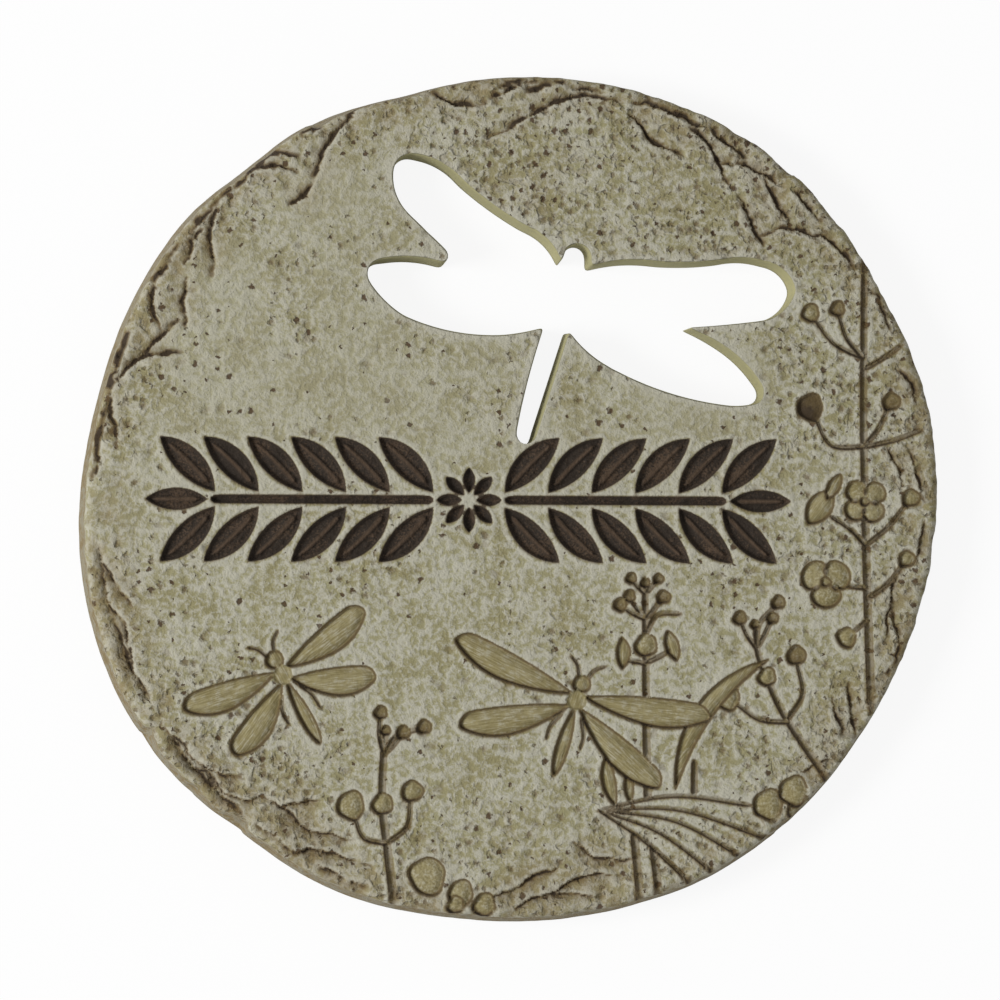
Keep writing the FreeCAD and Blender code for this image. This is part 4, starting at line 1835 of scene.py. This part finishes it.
class Value:
    """One output of a shader tree; sums written with it add Math nodes to that tree."""

    SMOOTH = {"interpolation_type": "SMOOTHSTEP", "clamp": True}

    def __init__(self, recipe: "Recipe", socket: bpy.types.NodeSocket) -> None:
        """Keep the recipe and the output socket."""
        self.recipe = recipe
        self.socket = socket

    def math(self, operation: str, *others: "Value | float") -> "Value":
        """Join this value and others by one Math node."""
        sockets = dict(enumerate((self, *others)))
        return self.recipe.node("ShaderNodeMath", {"operation": operation}, sockets)

    def __add__(self, other: "Value | float") -> "Value":
        """This value plus another."""
        return self.math("ADD", other)

    def __mul__(self, other: "Value | float") -> "Value":
        """This value times another."""
        return self.math("MULTIPLY", other)

    def __sub__(self, other: "Value | float") -> "Value":
        """This value less another."""
        return self.math("SUBTRACT", other)

    def __rsub__(self, other: float) -> "Value":
        """A number less this value."""
        return self.recipe.node("ShaderNodeMath", {"operation": "SUBTRACT"}, {0: other, 1: self})

    __radd__ = __add__
    __rmul__ = __mul__

    def most(self, other: "Value | float") -> "Value":
        """The larger of this value and another."""
        return self.math("MAXIMUM", other)

    def ease(self, low: "Value | float", high: "Value | float") -> "Value":
        """Rise smoothly from 0 where this value is low to 1 where it is high."""
        sockets = {"Value": self, "From Min": low, "From Max": high}
        return self.recipe.node("ShaderNodeMapRange", self.SMOOTH, sockets)


class Recipe:
    """Builds the node tree of a material or of the world."""

    def __init__(self, owner: bpy.types.Material | bpy.types.World) -> None:
        """Start with an empty tree.

        Args:
            owner: the material or world whose tree it is.
        """
        owner.use_nodes = True
        self.tree = owner.node_tree
        self.tree.nodes.clear()

    def node(self, kind: str, settings: dict[str, object] | None = None,
             sockets: dict[str | int, object] | None = None, output: str | int = 0) -> Value:
        """Add a node.

        Args:
            kind: the node's type.
            settings: its properties, which are set first.
            sockets: the values of its inputs, or the outputs to link to them, by name or number.
            output: the output to give back.

        Returns:
            That output.
        """
        made = self.tree.nodes.new(kind)
        for name, setting in (settings or {}).items():
            setattr(made, name, setting)
        for name, given in (sockets or {}).items():
            if isinstance(given, Value):
                self.tree.links.new(given.socket, made.inputs[name])
            else:
                made.inputs[name].default_value = given
        return Value(self, made.outputs[output] if made.outputs else None)

    def mark(self, name: str) -> Value:
        """A number that the mesh carries at each point."""
        return self.node("ShaderNodeAttribute", {"attribute_name": name}, output="Fac")

    def noise(self, where: Value, size: float, detail: float = 3.0, rough: float = 0.55) -> Value:
        """Layered noise with features about as large as size, in the units of where."""
        sockets = {"Vector": where, "Scale": 1.0 / size, "Detail": detail, "Roughness": rough}
        return self.node("ShaderNodeTexNoise", None, sockets, "Fac")

    def mix(self, share: "Value | float", first: "Value | Colour", second: "Value | Colour") -> Value:
        """The first colour, giving way to the second as share goes from 0 to 1."""
        return self.node("ShaderNodeMix", {"data_type": "RGBA"}, {0: share, 6: first, 7: second}, 2)


@dataclass(frozen=True)
class CementFinish:
    """Cast cement: olive ground, pale brushing on what stands up, brown and painted shade in the carving."""

    olive: Colour = tint(138, 131, 95)
    green: Colour = tint(153, 149, 116)
    pale: Colour = tint(178, 175, 159)
    brown: Colour = tint(131, 115, 84)
    dent: Colour = tint(118, 104, 72)
    umber: Colour = tint(76, 58, 38)
    rust_and_shade: Colour = tint(97, 78, 47)
    dark: Colour = tint(49, 38, 26)
    figure: Colour = tint(150, 140, 102)
    figure_dark: Colour = tint(124, 113, 75)
    band_dark: Colour = tint(41, 33, 25)
    band_brown: Colour = tint(88, 70, 53)
    opening: Colour = tint(166, 161, 120)
    rim: Colour = tint(136, 131, 113)
    underside: Colour = tint(150, 146, 128)
    patch_size: float = 13.0
    cloud_size: float = 19.0
    brush_size: float = 2.1
    hollow_size: float = 3.2
    grit_size: float = 0.6
    dent_cell: float = 2.5
    dent_radii: Place = (0.12, 0.46)
    speck_cell: float = 3.3
    speck_radii: Place = (0.06, 0.28)
    drift_scale: float = 0.22
    shake_scale: float = 0.9
    hatch_scale: Triple = (0.22, 2.2, 1.0)

    def material(self) -> bpy.types.Material:
        """Mix the finish: the marks and patterns, then the face's colour, the walls' over it, and the bump.

        Returns:
            The material.
        """
        made = bpy.data.materials.new("cast_stone")
        recipe = Recipe(made)
        metres = recipe.node("ShaderNodeTexCoord", output="Object")
        where = recipe.node("ShaderNodeVectorMath", {"operation": "SCALE"}, {0: metres, "Scale": 1.0 / MM})
        stain_and_shade, lift, figure, band, weather, wash = (recipe.mark(name) for name in FACE_MARKS)
        rim_side, opening_side, under = (recipe.mark(name) for name in ZONE_MARKS)
        plain = rim_side.most(opening_side).most(under)
        bare = 1.0 - figure.most(band).most(plain)
        slow = {"Vector": where, "Scale": self.drift_scale, "Detail": 2.0}
        drift = recipe.node("ShaderNodeTexNoise", None, slow, "Color")
        patch = recipe.noise(where, self.patch_size, 4.0, 0.6)
        brush = recipe.noise(self.pulled(recipe, where, drift, 1.4), self.brush_size, 4.0, 0.6)
        grit = recipe.noise(where, self.grit_size, 2.0)
        many, few = weather * 0.5 + 0.01, weather * 0.24 + 0.14
        dents = self.holes(recipe, where, self.dent_cell, self.dent_radii, many, 0.85) * bare
        specks = self.holes(recipe, where, self.speck_cell, self.speck_radii, few, 0.35) * bare
        hatch = self.hatch(recipe)
        sunken = recipe.noise(self.pulled(recipe, where, drift, 2.0), self.hollow_size, 2.0, 0.5)
        hollows = (1.0 - sunken.ease(0.3, 0.47)) * weather.ease(0.1, 0.7) * bare

        ground = recipe.mix(patch.ease(0.25, 0.7), self.olive, self.green)
        up = recipe.node("ShaderNodeSeparateXYZ", None, {0: where}, "Y")
        calm = (1.0 - weather.ease(0.05, 0.55)) * up.ease(-30.0, 30.0)
        brushed = (0.25 * patch + 0.58 * brush + 0.17 * grit + 0.1 * lift).ease(0.43, 0.57)
        brushed = brushed * (1.0 - 0.4 * calm) + 0.22 * calm
        colour = recipe.mix(brushed * 0.95, ground, self.pale)
        cloud = recipe.noise(where, self.cloud_size, 4.0, 0.6)
        run = cloud.ease(0.46, 0.66) * weather.ease(0.1, 0.8) * 0.22
        run = run.most(wash * cloud.ease(0.25, 0.55) * 0.7)
        colour = recipe.mix(run * (1.0 - 0.4 * brushed), colour, self.brown)
        colour = recipe.mix(lift.ease(0.2, 0.85) * 0.6, colour, self.pale)
        colour = recipe.mix(hollows * 0.33, colour, self.dent)
        colour = recipe.mix(dents * 0.7, colour, self.dent)
        colour = recipe.mix(dents.ease(0.6, 1.0) * 0.35, colour, self.umber)
        colour = recipe.mix(specks * 0.95, colour, self.umber)
        floor = recipe.mix((hatch * 0.75 + patch * 0.25).ease(0.38, 0.62), self.figure_dark, self.figure)
        floor = recipe.mix((hatch * 0.5 + brush * 0.5).ease(0.5, 0.62) * 0.45, floor, self.pale)
        colour = recipe.mix(figure.ease(0.35, 0.75) * 0.9, colour, floor)
        # Painted shade: these stain colours also darken the figures' shaded sides and the breaks' notches
        colour = recipe.mix(stain_and_shade.ease(0.1, 0.6) * 0.8, colour, self.rust_and_shade)
        colour = recipe.mix((stain_and_shade + 0.2 * grit).ease(0.6, 1.0) * 0.92, colour, self.dark)
        worn = ((patch * 0.5 + grit * 0.5).ease(0.46, 0.64) * 0.75).most(lift * 0.8)
        scuffed = recipe.mix(worn * (1.0 - 0.7 * stain_and_shade), self.band_dark, self.band_brown)
        colour = recipe.mix(band.ease(0.3, 0.7), colour, scuffed)
        cut_wall = recipe.mix(brush.ease(0.35, 0.7) * 0.4, self.opening, self.green)
        colour = recipe.mix(opening_side, colour, cut_wall)
        side = recipe.mix(brushed * 0.9, self.brown, self.rim)
        blotches = (1.0 - (brush * 0.7 + patch * 0.3).ease(0.38, 0.52)) * 0.8
        side = recipe.mix(blotches, side, self.dent)
        colour = recipe.mix(rim_side, colour, side)
        colour = recipe.mix(under, colour, self.underside)

        smooth = 1.0 - 0.7 * opening_side
        height = (0.85 * brush + 0.2 * grit) * smooth * (1.0 - 0.6 * figure)
        height = height - 0.5 * hollows - 0.5 * dents - 0.3 * specks + 0.2 * hatch * figure
        bump = recipe.node("ShaderNodeBump", None, {"Height": height, "Distance": MM, "Strength": 1.0})
        rough = 0.93 - 0.08 * brushed - 0.1 * band
        shader = recipe.node("ShaderNodeBsdfPrincipled", None, {
            "Base Color": colour, "Roughness": rough, "Normal": bump, "Specular IOR Level": 0.3,
        })
        recipe.node("ShaderNodeOutputMaterial", None, {"Surface": shader})
        return made

    @staticmethod
    def pulled(recipe: Recipe, where: Value, pull: Value, reach: float) -> Value:
        """A place moved aside, as far as a noise colour says."""
        sockets = {0: pull, 1: (reach, reach, 0.0), 2: where}
        return recipe.node("ShaderNodeVectorMath", {"operation": "MULTIPLY_ADD"}, sockets)

    def holes(self, recipe: Recipe, where: Value, cell: float, radii: tuple[float, float],
              odds: Value, soft: float) -> Value:
        """Small ragged holes: some cells of a shaken grid have one near their middle.

        Args:
            recipe: the tree to add to.
            where: the place on the stone, in millimetres.
            cell: the size of a cell.
            radii: the smallest and largest radius, as shares of a cell.
            odds: the share of the cells that have a hole.
            soft: the share of a hole's radius over which its edge fades.

        Returns:
            1 in a hole and 0 outside.
        """
        quick = {"Vector": where, "Scale": self.shake_scale, "Detail": 3.0}
        shaken = recipe.node("ShaderNodeTexNoise", None, quick, "Color")
        cells = {"Vector": self.pulled(recipe, where, shaken, 2.3), "Scale": 1.0 / cell}
        reach = recipe.node("ShaderNodeTexVoronoi", {"voronoi_dimensions": "2D"}, cells, "Distance")
        draw = recipe.node("ShaderNodeTexVoronoi", {"voronoi_dimensions": "2D"}, cells, "Color")
        lot = recipe.node("ShaderNodeSeparateColor", None, {"Color": draw}, "Red")
        luck = recipe.node("ShaderNodeSeparateColor", None, {"Color": draw}, "Green")
        radius = radii[0] + (radii[1] - radii[0]) * luck * luck
        holed = (odds - lot).ease(0.0, 0.05)
        return (1.0 - reach.math("DIVIDE", radius).ease(1.0 - soft, 1.0 + soft)) * holed

    def hatch(self, recipe: Recipe) -> Value:
        """Fine streaks that run along a figure.

        Args:
            recipe: the tree to add to.

        Returns:
            Noise stretched along the figure's own grain.
        """
        own = recipe.node("ShaderNodeAttribute", {"attribute_name": "streak"}, output="Vector")
        sockets = {0: own, 1: self.hatch_scale}
        drawn = recipe.node("ShaderNodeVectorMath", {"operation": "MULTIPLY"}, sockets)
        return recipe.noise(drawn, 1.0)


# The studio

@dataclass
class Studio:
    """A white floor, an even sky, one soft lamp at the left, and the camera."""

    floor_half: float = 4.0
    floor_gap: float = 0.0004
    floor_colour: Colour = (0.9, 0.9, 0.9, 1.0)
    floor_glow: float = 0.9
    sky: float = 0.42
    lamp_place: Triple = (-2.42, -0.1, 2.0)
    lamp_size: float = 1.1
    lamp_power: float = 82.0
    camera_place: Triple = (-0.272, -0.152, 2.98)
    camera_aim: Triple = (-0.0026, -0.0002, 0.0)
    camera_angle: float = 5.622

    def build(self) -> None:
        """Set up the floor, the light and the camera."""
        self.floor()
        self.world()
        self.lamp()
        self.camera()
        bpy.context.scene.view_settings.view_transform = "Standard"

    @staticmethod
    def shown(recipe: Recipe) -> Value:
        """Which rays show the background: those seen straight, in gloss or through glass.

        Args:
            recipe: the tree to add to.

        Returns:
            1 for those rays and 0 for others.
        """
        straight = recipe.node("ShaderNodeLightPath", output="Is Camera Ray")
        glossy = recipe.node("ShaderNodeLightPath", output="Is Glossy Ray")
        through = recipe.node("ShaderNodeLightPath", output="Is Transmission Ray")
        return straight.most(glossy).most(through)

    def floor(self) -> None:
        """A pale floor that is nearly white to the camera and keeps the stone's shadow."""
        half, low = self.floor_half, -self.floor_gap
        corners = [(-half, -half, low), (half, -half, low), (half, half, low), (-half, half, low)]
        mesh = bpy.data.meshes.new("floor")
        mesh.from_pydata(corners, [], [(0, 1, 2, 3)])
        material = bpy.data.materials.new("pale_floor")
        recipe = Recipe(material)
        matte = recipe.node("ShaderNodeBsdfDiffuse", None, {"Color": self.floor_colour})
        glow = recipe.node("ShaderNodeEmission", None, {"Color": WHITE, "Strength": 1.0})
        share = self.shown(recipe) * self.floor_glow
        both = recipe.node("ShaderNodeMixShader", None, {0: share, 1: matte, 2: glow})
        recipe.node("ShaderNodeOutputMaterial", None, {"Surface": both})
        mesh.materials.append(material)
        made = placed("floor", mesh)

    def world(self) -> None:
        """A sky that is white to the camera and lights the stone evenly, less strongly."""
        world = bpy.data.worlds.new("studio")
        bpy.context.scene.world = world
        recipe = Recipe(world)
        strength = self.sky + (1.0 - self.sky) * self.shown(recipe)
        sky = recipe.node("ShaderNodeBackground", None, {"Color": WHITE, "Strength": strength})
        recipe.node("ShaderNodeOutputWorld", None, {"Surface": sky})

    def lamp(self) -> None:
        """One soft lamp, high at the left of the stone."""
        light = bpy.data.lights.new("soft_lamp", "AREA")
        light.size = self.lamp_size
        light.energy = self.lamp_power
        made = placed("soft_lamp", light)
        made.matrix_world = self.aimed(Vector(self.lamp_place), Vector((0.0, 0.0, 0.0)))

    def camera(self) -> None:
        """The camera, high above the stone and a little to its lower left."""
        lens = bpy.data.cameras.new("camera")
        lens.angle = math.radians(self.camera_angle)
        made = placed("camera", lens)
        made.matrix_world = self.aimed(Vector(self.camera_place), Vector(self.camera_aim))
        bpy.context.scene.camera = made

    @staticmethod
    def aimed(place: Vector, target: Vector) -> Matrix:
        """A placement that looks from a place at a target, with +Y up in its picture.

        Args:
            place: where it stands.
            target: what it looks at.

        Returns:
            The placement.
        """
        back = (place - target).normalized()
        right = Vector((0.0, 1.0, 0.0)).cross(back).normalized()
        turn = Matrix((right, back.cross(right), back)).transposed()
        return Matrix.Translation(place) @ turn.to_4x4()


def main() -> None:
    """Carve and finish the stone as thick as the imported stone's box, and set up the studio."""
    logging.basicConfig(level=logging.INFO, format="%(name)s: %(message)s")
    low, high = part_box("stone")
    carver = Carver(Rim(), Opening(), garden() + LaurelBand().figures(), rim_cracks(), Grain(5))
    slab = Slab(carver, thickness=(high.z - low.z) / MM)
    stone = slab.build()
    stone.data.materials.append(CementFinish().material())
    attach(stone, "root")
    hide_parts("stone")
    log.info("stone: carved and finished")
    Studio().build()
    log.info("studio: floor, sky, lamp and camera")


if __name__ == "__main__":
    main()
